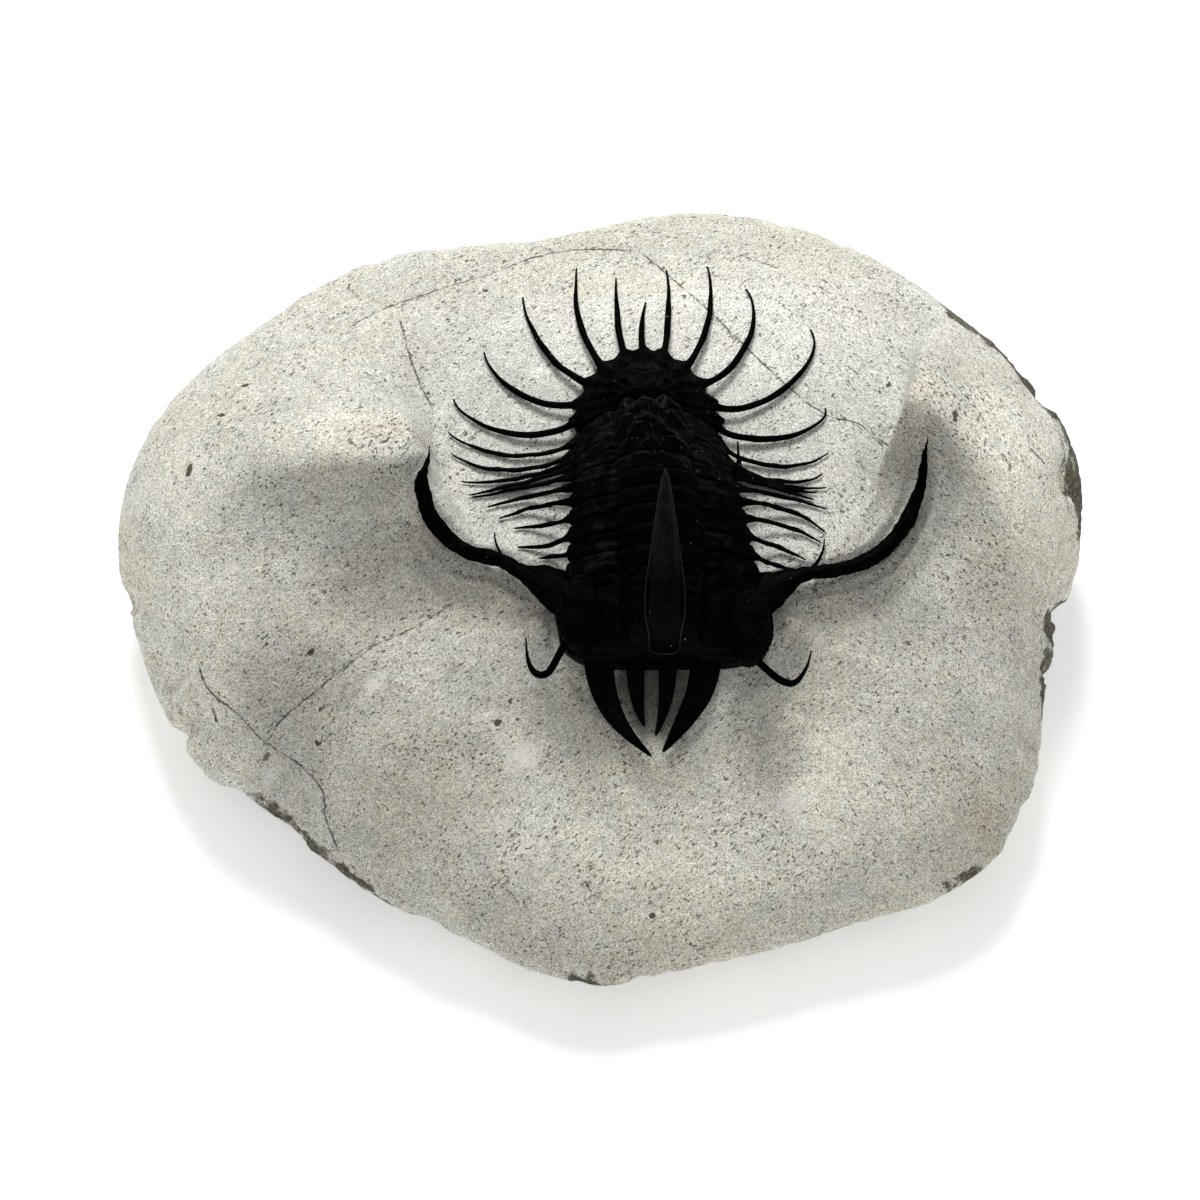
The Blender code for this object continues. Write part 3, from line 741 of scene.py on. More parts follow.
    # Painted light and painted shade of the ground, and the small heights of its waves, lumps,
    # pecks and strokes.
    # Painted light: stretches made lighter where the slopes take too little light.
    painted_light_ground: Ground = Ground(0.24, 0.7, (
        Spot(-65, 0, 28, 16, 95), Spot(-36, 17, 15, 6, -4), Spot(64, 12, 22, 13, 105),
        Spot(15, -38, 50, 22, 8), Spot(14, 40, 40, 18)))
    # Painted shade: stretches made darker on slopes that face away from the light.
    painted_shade_ground: Ground = Ground(-0.17, 0.8, (
        Spot(-37, -7, 20, 13, 10), Spot(-22, -32, 20, 13, -10), Spot(-4, -47, 18, 9),
        Spot(45, -8, 11, 8), Spot(-45, -24, 14, 10)))
    # Painted shadow on the stone under and between the fork's prongs.
    painted_fork_shadow: Ground = Ground(-0.8, 0.4, (Spot(7.8, -19, 7.5, 9),))
    # Painted shadow beside the head, and painted shade on the pillar's side and the floor before
    # it.
    painted_shadow_ground: Ground = Ground(-0.20, 0.7, (
        Spot(-34, -2, 13, 10), Spot(-45, -17, 14, 9), Spot(41.5, 17, 6, 9, -20),
        Spot(-8, -10.5, 4, 6), Spot(28, -13.5, 6, 5)))
    # Painted light on the pillar's top and on two flanks of the stone.
    sunlit_ground: Ground = Ground(0.16, 0.7, (
        Spot(61, 14, 16, 10, 105), Spot(49, 21.5, 6, 5), Spot(-57, -23, 10, 8)))
    near_shade: float = 0.30
    wave_height: float = 0.55
    lump_height: float = 0.13
    peck_height: float = 0.05
    peck_depth: float = 0.45
    pit_depth: float = 0.25
    stroke_height: float = 0.22
    crust_height: float = 0.30
    stroke_centre: tuple[float, float] = (9.4, -4.0)
    chip_grain: Grain = Grain(1.0, 6.5, 2, 31.0)
    tooth_grain: Grain = Grain(1.0, 2.6, 2, 17.0)
    under_lumps: Grain = Grain(1.0, 9.0, 3, 5.0)
    # Where the ground is pecked, and where dark outer skin is left: angles from and to, and
    # the share of the radius where the skin starts at either end.
    pitted_ground: tuple[Spot, ...] = (
        Spot(-29, 14, 10, 5.5, -5), Spot(54, 20, 12, 6, -40), Spot(34.5, 4, 14, 5, 62),
        Spot(27, -41, 9, 3.5, -55), Spot(-20, -27, 5, 3, 20))
    crusted: tuple[tuple[float, float, float, float], ...] = (
        (3, 46, 0.995, 0.868), (-20, 10, 0.985, 0.98), (258, 276, 0.972, 0.972),
        (200, 240, 0.988, 0.988), (312, 334, 0.987, 0.987))

    def radius(self, angle: Any) -> Any:
        """Radius of the outline at an angle, a smooth curve through its keys."""
        keys = np.asarray(self.outline)
        place = np.mod(np.asarray(angle) / math.tau, 1.0) * len(keys)
        i = place.astype(int)
        return between([keys[(i + n) % len(keys)] for n in (-1, 0, 1, 2)], place - i)

    def widest(self, angle: Any) -> Any:
        """Height of the widest line."""
        return mix(*self.girth, ease(-0.9, 0.6, np.sin(angle)))

    def natural(self, x: Any, y: Any) -> Any:
        """The stone's own surface before the pocket was dug."""
        front = self.crown_z + self.front_slope * (y - self.front_edge)
        back = self.crown_z - self.back_slope * (y - self.back_edge)
        crown = soft_min(front, self.crown_z, self.crown_rounding)
        base = soft_min(crown, back, self.crown_rounding)
        line = smooth_curve(self.ridge_line, 160)
        place = np.interp(x, line[:, 0], line[:, 1])
        lean = np.interp(x, line[:, 0], np.gradient(line[:, 1]) / np.gradient(line[:, 0]))
        off = (y - place) / np.hypot(1.0, lean)
        pinch, middle, spread = self.ridge_pinch
        ahead, behind = self.ridge_reach
        reach = np.where(off > 0.0, behind, ahead * (1.0 - pinch * hump(x, middle, spread)))
        power = np.where(off > 0.0, *self.ridge_sharpness[::-1])
        left, right = self.ridge_ends
        ends = ease(left, left + self.ridge_fade, x) * ease(-right, self.ridge_fade - right, -x)
        rise = (self.ridge_height + self.ridge_gain * x) * ends
        return base + rise * np.exp(-(np.abs(off) / reach) ** power)

    def pocket(self, x: Any, y: Any) -> Any:
        """The dug pocket: a gently tilted floor with steep walls left and right."""
        start, lean, turn, back_lean = self.left_wall
        behind = np.maximum(y - turn, 0.0)
        left = start - lean * (y - behind) - back_lean * behind
        right = self.right_wall[0] + self.right_wall[1] * y - self.right_wall[2] * y * y
        rise = np.interp(y, *zip(*self.left_steepness)) * np.maximum(left - x, 0.0)
        rise += np.interp(y, *zip(*self.right_steepness)) * np.maximum(x - right, 0.0)
        return self.floor_z + self.floor_tilt * y + rise

    def core(self, x: Any, y: Any) -> Any:
        """The stone left under the shell, with a low pedestal under the shell's edge."""
        body = self.body
        k = body.number_at(y)
        start = body.margin(body.segments + 0.5)[0]
        behind = np.maximum(y - start, 0.0) / (body.tail_front + body.tail_length - start)
        off = (x - body.midline(y)) / np.where(y > start, body.tail_half_width, body.half_width(k))
        share = np.hypot(off, behind)
        tail_foot = mix(body.margin_z, body.tail_end_z, behind)
        foot = np.where(y > start, tail_foot, body.margin(k)[1]) - self.pedestal
        crest = body.crest(np.minimum(y, start + 2.0)) - self.core_clearance
        past = np.maximum(share - 0.97, 0.0) * body.half_width(k)
        arch = np.maximum(crest - foot, 0.0) * body.lobes(share * 1.06)
        return np.where(y < body.margin_start, 0.0, foot + arch - self.pedestal_slope * past)

    def ground(self, x: Any, y: Any) -> Any:
        """Height of the dug and natural surface, without the stone under the shell."""
        angle = np.arctan2(y, x)
        share = np.minimum(np.hypot(x, y) / self.radius(angle), 1.0)
        back = ease(-0.6, 0.6, np.sin(angle))
        bulge = (1.0 - share ** 2) ** mix(*self.edge_bulge, back)
        edge = self.widest(angle) + mix(*self.edge_rise, back) * bulge
        rounding = mix(*self.wall_rounding, ease(*self.wall_fades, y - 9.0 * (x > 9.0)))
        dug = soft_min(self.natural(x, y), self.pocket(x, y), rounding)
        return soft_min(dug, edge, self.edge_rounding)

    def top(self, x: Any, y: Any) -> Any:
        """Height of the stone's upper surface, as smooth ground."""
        return np.maximum(self.ground(x, y), self.core(x, y))

    def groove(self, x: Array, y: Array) -> Array:
        """Depth of the groove that the tool left along the cheek spines."""
        depth = np.zeros(np.shape(x))
        for path in self.cheek_paths:
            distance, _, along = path_distance(x, y, path)
            inside = 1.0 - ease(self.groove_half_width, self.groove_half_width + 0.55, distance)
            depth = np.maximum(depth, self.groove_depth * inside * ease(0.0, 0.2, along))
        return depth

    def bowl(self, x: Array, y: Array) -> tuple[Array, Array]:
        """Depth of the bowl dug before the head and its cheek spines, and closeness to them."""
        if not self.cheek_paths:
            return np.zeros(np.shape(x)), np.zeros(np.shape(x))
        left, right = (path[:, :2] for path in self.cheek_paths)
        brink = np.vstack([self.brow_left, left[::-1], self.head_front, right, self.brow_right])
        distance = path_distance(x, y, brink)[0]
        outer = ~within(x, y, np.vstack([brink, self.behind_brink]))
        depth = ease(self.bowl_start, self.bowl_deepest, distance)
        depth = depth * (1.0 - ease(*self.bowl_reach, distance))
        aside = np.abs(x - 9.0)
        depth = depth * outer * mix(1.0, ease(-24.0, -4.0, y), ease(26.0, 42.0, aside))
        depth = depth * (1.0 - 0.8 * ease(38.0, 58.0, -x))
        near = path_distance(x, y, np.vstack([left[::-1], self.head_front, right]))[0]
        depth = self.bowl_depth * depth * mix(0.4, 1.0, ease(6.0, 15.0, aside))
        return depth, np.exp(-near / 6.0) * outer

    def upper_grid(self) -> tuple[Array, Array]:
        """X and Y of the upper surface's points, ring by ring, finest round the fossil."""
        angles = np.linspace(0.0, math.tau, self.sectors, endpoint=False)
        rim_x, rim_y = self.radius(angles) * np.cos(angles), self.radius(angles) * np.sin(angles)
        share = (np.sin(0.5 * math.pi * np.arange(1, self.rings + 1) / self.rings) ** 0.95)[:, None]
        x, y = self.centre
        return mix(x, rim_x[None, :], share), mix(y, rim_y[None, :], share)

    def crust(self, x: Array, y: Array) -> Array:
        """How far points lie inside the dark outer skin; negative outside it."""
        angle = np.degrees(np.arctan2(y, x))
        reach = np.hypot(x, y) / self.radius(np.radians(angle))
        most = np.full(np.shape(x), -1.0)
        for start, end, first, last in self.crusted:
            past = np.mod(angle - start, 360.0)
            inner = mix(first, last, np.clip(past / (end - start), 0.0, 1.0))
            ends = ease(0.0, 11.0, past) * ease(0.0, 11.0, end - start - past)
            most = np.maximum(most, mix(-1.0, np.clip((reach - inner) / 0.035, -1.0, 1.0), ends))
        return most

    def relief(self, x: Array, y: Array, z: Array) -> tuple[Array, dict[str, Array]]:
        """Fine heights of the weathered and the dug ground, and the masks of its markings.

        Args:
            x: X of the surface's points.
            y: Y of the points.
            z: Their height on the smooth ground.

        Returns:
            The height to add, and the markings by name, one value for each point.
        """
        points = np.stack([x, y, z], axis=1)
        covered = ease(-0.6, 0.2, self.core(x, y) - self.ground(x, y))
        dug = ease(-0.8, 0.6, self.natural(x, y) - self.pocket(x, y))
        pitted = np.clip(nearest(self.pitted_ground, x, y) * 2.0, 0.0, 1.0) * (1.0 - 0.35 * dug)
        waves = rough(points, 14.0, 2, 3.0)
        lumps = rough(points, 3.2, 3, 7.0)
        pecks = rough(points, 1.1, 3, 11.0)
        height = self.wave_height * waves * (1.0 - dug)
        height += self.lump_height * lumps * (1.0 - 0.5 * dug)
        height += self.peck_height * pecks
        height -= pitted * (self.peck_depth * np.maximum(pecks, 0.0) ** 1.2
                            + self.pit_depth * np.maximum(lumps, 0.0))
        bowl, near = self.bowl(x, y)
        height -= self.groove(x, y) + bowl
        from_x, from_y = x - self.stroke_centre[0], y - self.stroke_centre[1]
        away = np.hypot(from_x, from_y)
        turn = np.arctan2(from_y, from_x)
        stretched = np.stack([turn * 26.0, away * 0.22, np.zeros(x.shape)], axis=1)
        strokes = rough(stretched, 1.0, 2, 23.0)
        height += self.stroke_height * strokes * near ** 0.6 * ease(4.0, 14.0, away)
        crack = np.full(x.shape, 3.0)
        crack_here = np.zeros(x.shape)
        for keys in self.cracks:
            distance, side, along = path_distance(x, y, smooth_curve(keys, 8 * len(keys)))
            closer = distance < np.abs(crack)
            crack = np.where(closer, distance * side, crack)
            ends = ease(0.0, 0.04, along) * ease(0.0, 0.04, 1.0 - along)
            crack_here = np.where(closer, ends * (distance < 1.8), crack_here)
        # Painted light and painted shade, with painted shade near the head and cheek spines, go
        # into the pale mark.
        shade = self.painted_light_ground.shade(x, y) - self.near_shade * near
        for ground in (self.painted_shade_ground, self.painted_fork_shadow, self.painted_shadow_ground,
                       self.sunlit_ground):
            shade = shade + ground.shade(x, y)
        marks = {
            "dug": dug * (1.0 - covered),
            "pitted": pitted,
            "pale": shade,
            "crack": crack,
            "crack_here": crack_here,
            "dark_mark": nearest(self.dark_marks, x, y).clip(-1.0),
            "pale_mark": nearest(self.pale_marks, x, y).clip(-1.0),
            "stain": nearest(self.stains, x, y).clip(0.0),
            "crust": self.crust(x, y),
        }
        height += self.crust_height * rough(points, 1.7, 4, 19.0) * ease(-0.2, 0.4, marks["crust"])
        return height * (1.0 - covered), marks

    def chip(self, points: Array, share: Array) -> Array:
        """Break small chips out of the rim.

        Args:
            points: Points of the stone.
            share: How much each of them belongs to the rim, 0 to 1.

        Returns:
            The moved points.
        """
        near = share > 0.0
        rim = points[near]
        angle = np.arctan2(rim[:, 1], rim[:, 0])
        front = hump(np.cos(angle + 1.0), -0.35, 0.75) * (rim[:, 1] < 10.0)
        ragged = 0.35 + 0.65 * np.maximum(front, hump(np.cos(angle - 0.35), 1.0, 0.25))
        flakes = np.maximum(self.chip_grain.at(rim * np.array([1.0, 1.0, 0.45])), -0.1)
        teeth = self.chips[1] * np.abs(self.tooth_grain.at(rim))
        depth = self.chips[0] * ease(0.0, 0.28, flakes) * (0.4 + flakes) + teeth
        depth = depth * ragged * share[near]
        out = rim[:, :2] / np.linalg.norm(rim[:, :2], axis=1, keepdims=True)
        moved = points.copy()
        moved[near, :2] -= out * depth[:, None]
        return moved

    def build(self, finish: Material) -> Piece:
        """Make the whole stone as one closed mesh with its markings as attributes."""
        x, y = (a.ravel() for a in self.upper_grid())
        z = self.top(x, y)
        height, marks = self.relief(x, y, z)
        rings_left = np.repeat(np.arange(self.rings, 0, -1), self.sectors).astype(float)
        rim = ease(0.0, 4.0, rings_left)
        upper = np.stack([x, y, z + height * rim], axis=1)
        reach = np.hypot(x, y) / self.radius(np.arctan2(y, x))
        upper = self.chip(upper, ease(0.90, 0.985, reach))
        angles = np.linspace(0.0, math.tau, self.sectors, endpoint=False)
        lower = []
        for ring in range(1, self.under_rings + 1):
            turn = 0.5 * math.pi * ring / self.under_rings
            down = ring / self.under_rings
            out = math.cos(turn)
            px = mix(self.rest[0], self.radius(angles), out) * np.cos(angles)
            py = mix(self.rest[1], self.radius(angles), out) * np.sin(angles)
            pz = self.widest(angles) * (1.0 - math.sin(turn))
            ring_points = np.stack([px, py, pz], axis=1)
            fade = float(ease(0.0, 0.2, down) * ease(0.0, 0.15, 1.0 - down))
            ring_points[:, 2] += 0.9 * fade * self.under_lumps.at(ring_points)
            ring_points[:, 2] = np.maximum(ring_points[:, 2], 0.0)
            chipped = 1.0 - float(ease(0.15, 0.7, down))
            lower.append(self.chip(ring_points, np.full(len(px), chipped)))
        under = np.vstack(lower)
        middle = np.array([[*self.centre, float(self.top(*self.centre))], [0.0, 0.0, 0.0]])
        points = np.vstack([upper, under, middle])
        rows = self.rings + self.under_rings
        faces = grid_faces(rows, self.sectors, wrap=True)
        last, total = (rows - 1) * self.sectors, rows * self.sectors
        for c in range(self.sectors):
            d = (c + 1) % self.sectors
            faces.append((total, d, c))
            faces.append((total + 1, last + c, last + d))
        mesh = Shape(points, faces).mesh("stone")
        radii = self.radius(angles)
        rim_crust = self.crust(radii * np.cos(angles), radii * np.sin(angles))
        depths = np.repeat(np.arange(1, self.under_rings + 1) / self.under_rings, self.sectors)
        slants = [round(0.8 * ring + 5.0 * math.sin(0.9 * ring))
                  for ring in range(self.under_rings)]
        skin = np.concatenate([np.roll(rim_crust, slant) for slant in slants])
        skin = mix(skin, 0.30, ease(0.0, 0.42, depths))
        marks["crust"] = np.concatenate([marks["crust"], skin])
        defaults = {"crack": 3.0, "dark_mark": -1.0, "pale_mark": -1.0, "crust": -1.0}
        for name, values in marks.items():
            whole = np.full(len(points), defaults.get(name, 0.0))
            whole[:len(values)] = values
            mesh.attributes.new(name, "FLOAT", "POINT").data.foreach_set("value", whole)
        return put("limestone_nodule", mesh, finish, "limestone_matrix")


@dataclass(frozen=True)
class SpinePlan:
    """A spine's course: reach from root to tip, bearing from straight out, and curl, in degrees."""

    reach: float
    bearing: float
    curl: float

    def course(self, stone: Nodule, root: Array, side: Side, shares: Array, lift: float) -> Array:
        """Points of a spine that comes down from its root to lie just over the stone.

        Args:
            stone: The stone that the spine lies over.
            root: The root in millimetres.
            side: The side of the body that it grows on.
            shares: Places along the spine, from 0 at the root to 1 at the tip.
            lift: Height of the spine's middle over the stone.

        Returns:
            One point for each share.
        """
        def heading(degrees: float) -> Array:
            """Vector as long as the reach, at a bearing."""
            turn = math.radians(degrees)
            return np.array([side.value * math.cos(turn), math.sin(turn)]) * self.reach

        t = shares[:, None]
        plan = root[:2] + heading(self.bearing) * (t * t * (3.0 - 2.0 * t))
        plan = plan + heading(self.bearing - self.curl) * (t * (1.0 - t) ** 2)
        plan = plan - heading(self.bearing + self.curl) * (t * t * (1.0 - t))
        drop = root[2] - stone.ground(root[0], root[1]) - lift
        z = stone.ground(plan[:, 0], plan[:, 1]) + lift + drop * (1.0 - shares) ** 2
        return np.column_stack([plan, z])


def wobble(path: Array, amount: float, size: float, seed: float) -> Array:
    """Give a path the small irregular bends of a grown spine, none at its root.

    Args:
        path: Points of the path.
        amount: Largest sideways shift.
        size: Length of the bends.
        seed: Offset that makes each spine differ.

    Returns:
        The shifted points.
    """
    steps = np.linalg.norm(np.diff(path, axis=0), axis=1)
    lengths = np.concatenate([[0.0], np.cumsum(steps)])
    shift = [[noise.noise(Vector((length / size, seed, row))) for row in (0.3, 7.7, 15.1)]
             for length in lengths]
    ramp = ease(0.0, 0.3, lengths / lengths[-1])[:, None]
    return path + np.array(shift) * ramp * np.array([amount, amount, 0.4 * amount])


def frames(path: Array, hint: Sequence[float] = (0.0, 0.0, 1.0)) -> tuple[Array, Array]:
    """The sideways and upward directions all along a path."""
    ahead = np.gradient(path, axis=0)
    side = np.cross(np.asarray(hint), ahead)
    side /= np.linalg.norm(side, axis=1, keepdims=True)
    up = np.cross(ahead, side)
    return side, up / np.linalg.norm(up, axis=1, keepdims=True)


def sweep(path: Array, wide: Array, high: Array, sides: int, squareness: float = 1.0,
          hint: Sequence[float] = (0.0, 0.0, 1.0)) -> Shape:
    """A closed tapering body along a path.

    Args:
        path: Points of its middle line; the last one is the tip.
        wide: Half width at each point.
        high: Half height at each point.
        sides: Number of points round it.
        squareness: 1 for an ellipse, below 1 for flatter faces and fuller corners.
        hint: Direction that the height roughly follows.

    Returns:
        The closed shape.
    """
    side, up = frames(path, hint)
    turns = np.linspace(0.0, math.tau, sides, endpoint=False)
    c, s = (np.sign(part) * np.abs(part) ** squareness for part in (np.cos(turns), np.sin(turns)))
    rings = [path[i] + np.outer(c, side[i]) * wide[i] + np.outer(s, up[i]) * high[i]
             for i in range(len(path) - 1)]
    return Shape.loft(rings, None, path[-1])


class SpineTree:
    """Geometry Nodes tree that sweeps a round section along drawn lines."""

    def __init__(self) -> None:
        """Build the tree."""
        self.tree, start, end = new_tree("swept_spines", {
            "Sides": ("NodeSocketInt", 14),
            "Swell": ("NodeSocketFloat", 0.12),
            "Swell Size": ("NodeSocketFloat", 2.4),
            "Seed": ("NodeSocketFloat", 4.0),
            "Material": ("NodeSocketMaterial", None),
        })
        tree = self.tree
        curve = add_node(tree, "GeometryNodeMeshToCurve", None, {"Mesh": start.outputs["Geometry"]})
        thick = add_node(tree, "GeometryNodeInputNamedAttribute", {"data_type": "FLOAT"},
                         {"Name": "thickness"})
        place = add_node(tree, "GeometryNodeInputPosition")
        scale = add_node(tree, "ShaderNodeMath", {"operation": "DIVIDE"},
                         {0: 1.0 / MM, 1: start.outputs["Swell Size"]})
        lumps = add_node(tree, "ShaderNodeTexNoise", {"noise_dimensions": "4D"},
                         {"Vector": place, "W": start.outputs["Seed"], "Scale": scale,
                          "Detail": 2.0})
        centred = add_node(tree, "ShaderNodeMath", {"operation": "SUBTRACT"}, {0: lumps, 1: 0.5})
        varied = add_node(tree, "ShaderNodeMath", {"operation": "MULTIPLY_ADD"},
                          {0: centred, 1: start.outputs["Swell"], 2: 1.0})
        radius = add_node(tree, "ShaderNodeMath", {"operation": "MULTIPLY"}, {0: thick, 1: varied})
        sized = add_node(tree, "GeometryNodeSetCurveRadius", None,
                         {"Curve": curve, "Radius": radius})
        section = add_node(tree, "GeometryNodeCurvePrimitiveCircle", None,
                           {"Resolution": start.outputs["Sides"], "Radius": 1.0})
        tube = add_node(tree, "GeometryNodeCurveToMesh", None,
                        {"Curve": sized, "Profile Curve": section, "Fill Caps": True})
        if "Scale" in tube.inputs:
            reread = add_node(tree, "GeometryNodeInputRadius")
            tree.links.new(reread.outputs[0], tube.inputs["Scale"])
        close_tree(tree, start, end, tube)

    def sweep(self, name: str, lines: Sequence[tuple[Array, Array]], sides: int,
              swell: float, seed: float,
              finish: Material) -> Mesh:
        """Sweep every line.

        Args:
            name: Name of the mesh.
            lines: Points in millimetres and the radius at each of them.
            sides: Number of points round a spine.
            swell: How much the thickness varies, as a share.
            seed: Picks the pattern of the swellings.
            finish: Material of the spines.

        Returns:
            One closed mesh that holds all spines.
        """
        points, edges, radii = [], [], []
        for path, radius in lines:
            edges += [(len(points) + i, len(points) + i + 1) for i in range(len(path) - 1)]
            points += (path * MM).tolist()
            radii += (radius * MM).tolist()
        drawn = bpy.data.meshes.new(name)
        drawn.from_pydata(points, edges, [])
        drawn.attributes.new("thickness", "FLOAT", "POINT").data.foreach_set("value", radii)
        values = {"Sides": sides, "Swell": swell, "Seed": seed, "Material": finish}
        return grow(name, drawn, self.tree, values)


class LensTree:
    """Geometry Nodes tree that sets a small dome on every point, along its facing."""

    def __init__(self) -> None:
        """Build the tree."""
        self.tree, start, end = new_tree("lens_rows", {
            "Radius": ("NodeSocketFloat", 0.0003),
            "Bulge": ("NodeSocketFloat", 0.7),
            "Unevenness": ("NodeSocketFloat", 0.1),
            "Seed": ("NodeSocketInt", 3),
            "Material": ("NodeSocketMaterial", None),
        })
        tree = self.tree
        dome = add_node(tree, "GeometryNodeMeshUVSphere", None,
                        {"Segments": 9, "Rings": 6, "Radius": start.outputs["Radius"]})
        flat = add_node(tree, "ShaderNodeCombineXYZ", None,
                        {"X": 1.0, "Y": 1.0, "Z": start.outputs["Bulge"]})
        lens = add_node(tree, "GeometryNodeTransform", None,
                        {"Geometry": dome.outputs["Mesh"], "Scale": flat})
        facing = add_node(tree, "GeometryNodeInputNamedAttribute", {"data_type": "FLOAT_VECTOR"},
                          {"Name": "facing"})
        turned = add_node(tree, "FunctionNodeAlignRotationToVector", {"axis": "Z"},
                          {"Vector": facing})
        low = add_node(tree, "ShaderNodeMath", {"operation": "SUBTRACT"},
                       {0: 1.0, 1: start.outputs["Unevenness"]})
        size = add_node(tree, "FunctionNodeRandomValue", {"data_type": "FLOAT"},
                        {2: low, 3: 1.0, "Seed": start.outputs["Seed"]})
        rows = add_node(tree, "GeometryNodeInstanceOnPoints", None,
                        {"Points": start.outputs["Geometry"], "Instance": lens, "Rotation": turned,
                         "Scale": size.outputs[1]})
        close_tree(tree, start, end, rows)

    def set_domes(self, name: str, places: Array, facing: Array, radius: float, bulge: float,
                  finish: Material) -> Mesh:
        """Set one dome on each place.

        Args:
            name: Name of the mesh.
            places: Places in millimetres.
            facing: Outward direction at each place.
            radius: Radius of a dome in millimetres.
            bulge: Height of a dome as a share of its radius.
            finish: Material of the domes.

        Returns:
            One mesh that holds all domes.
        """
        drawn = bpy.data.meshes.new(name)
        drawn.from_pydata((places * MM).tolist(), [], [])
        facings = drawn.attributes.new("facing", "FLOAT_VECTOR", "POINT")
        facings.data.foreach_set("vector", facing.ravel())
        values = {"Radius": radius * MM, "Bulge": bulge, "Material": finish}
        return grow(name, drawn, self.tree, values)


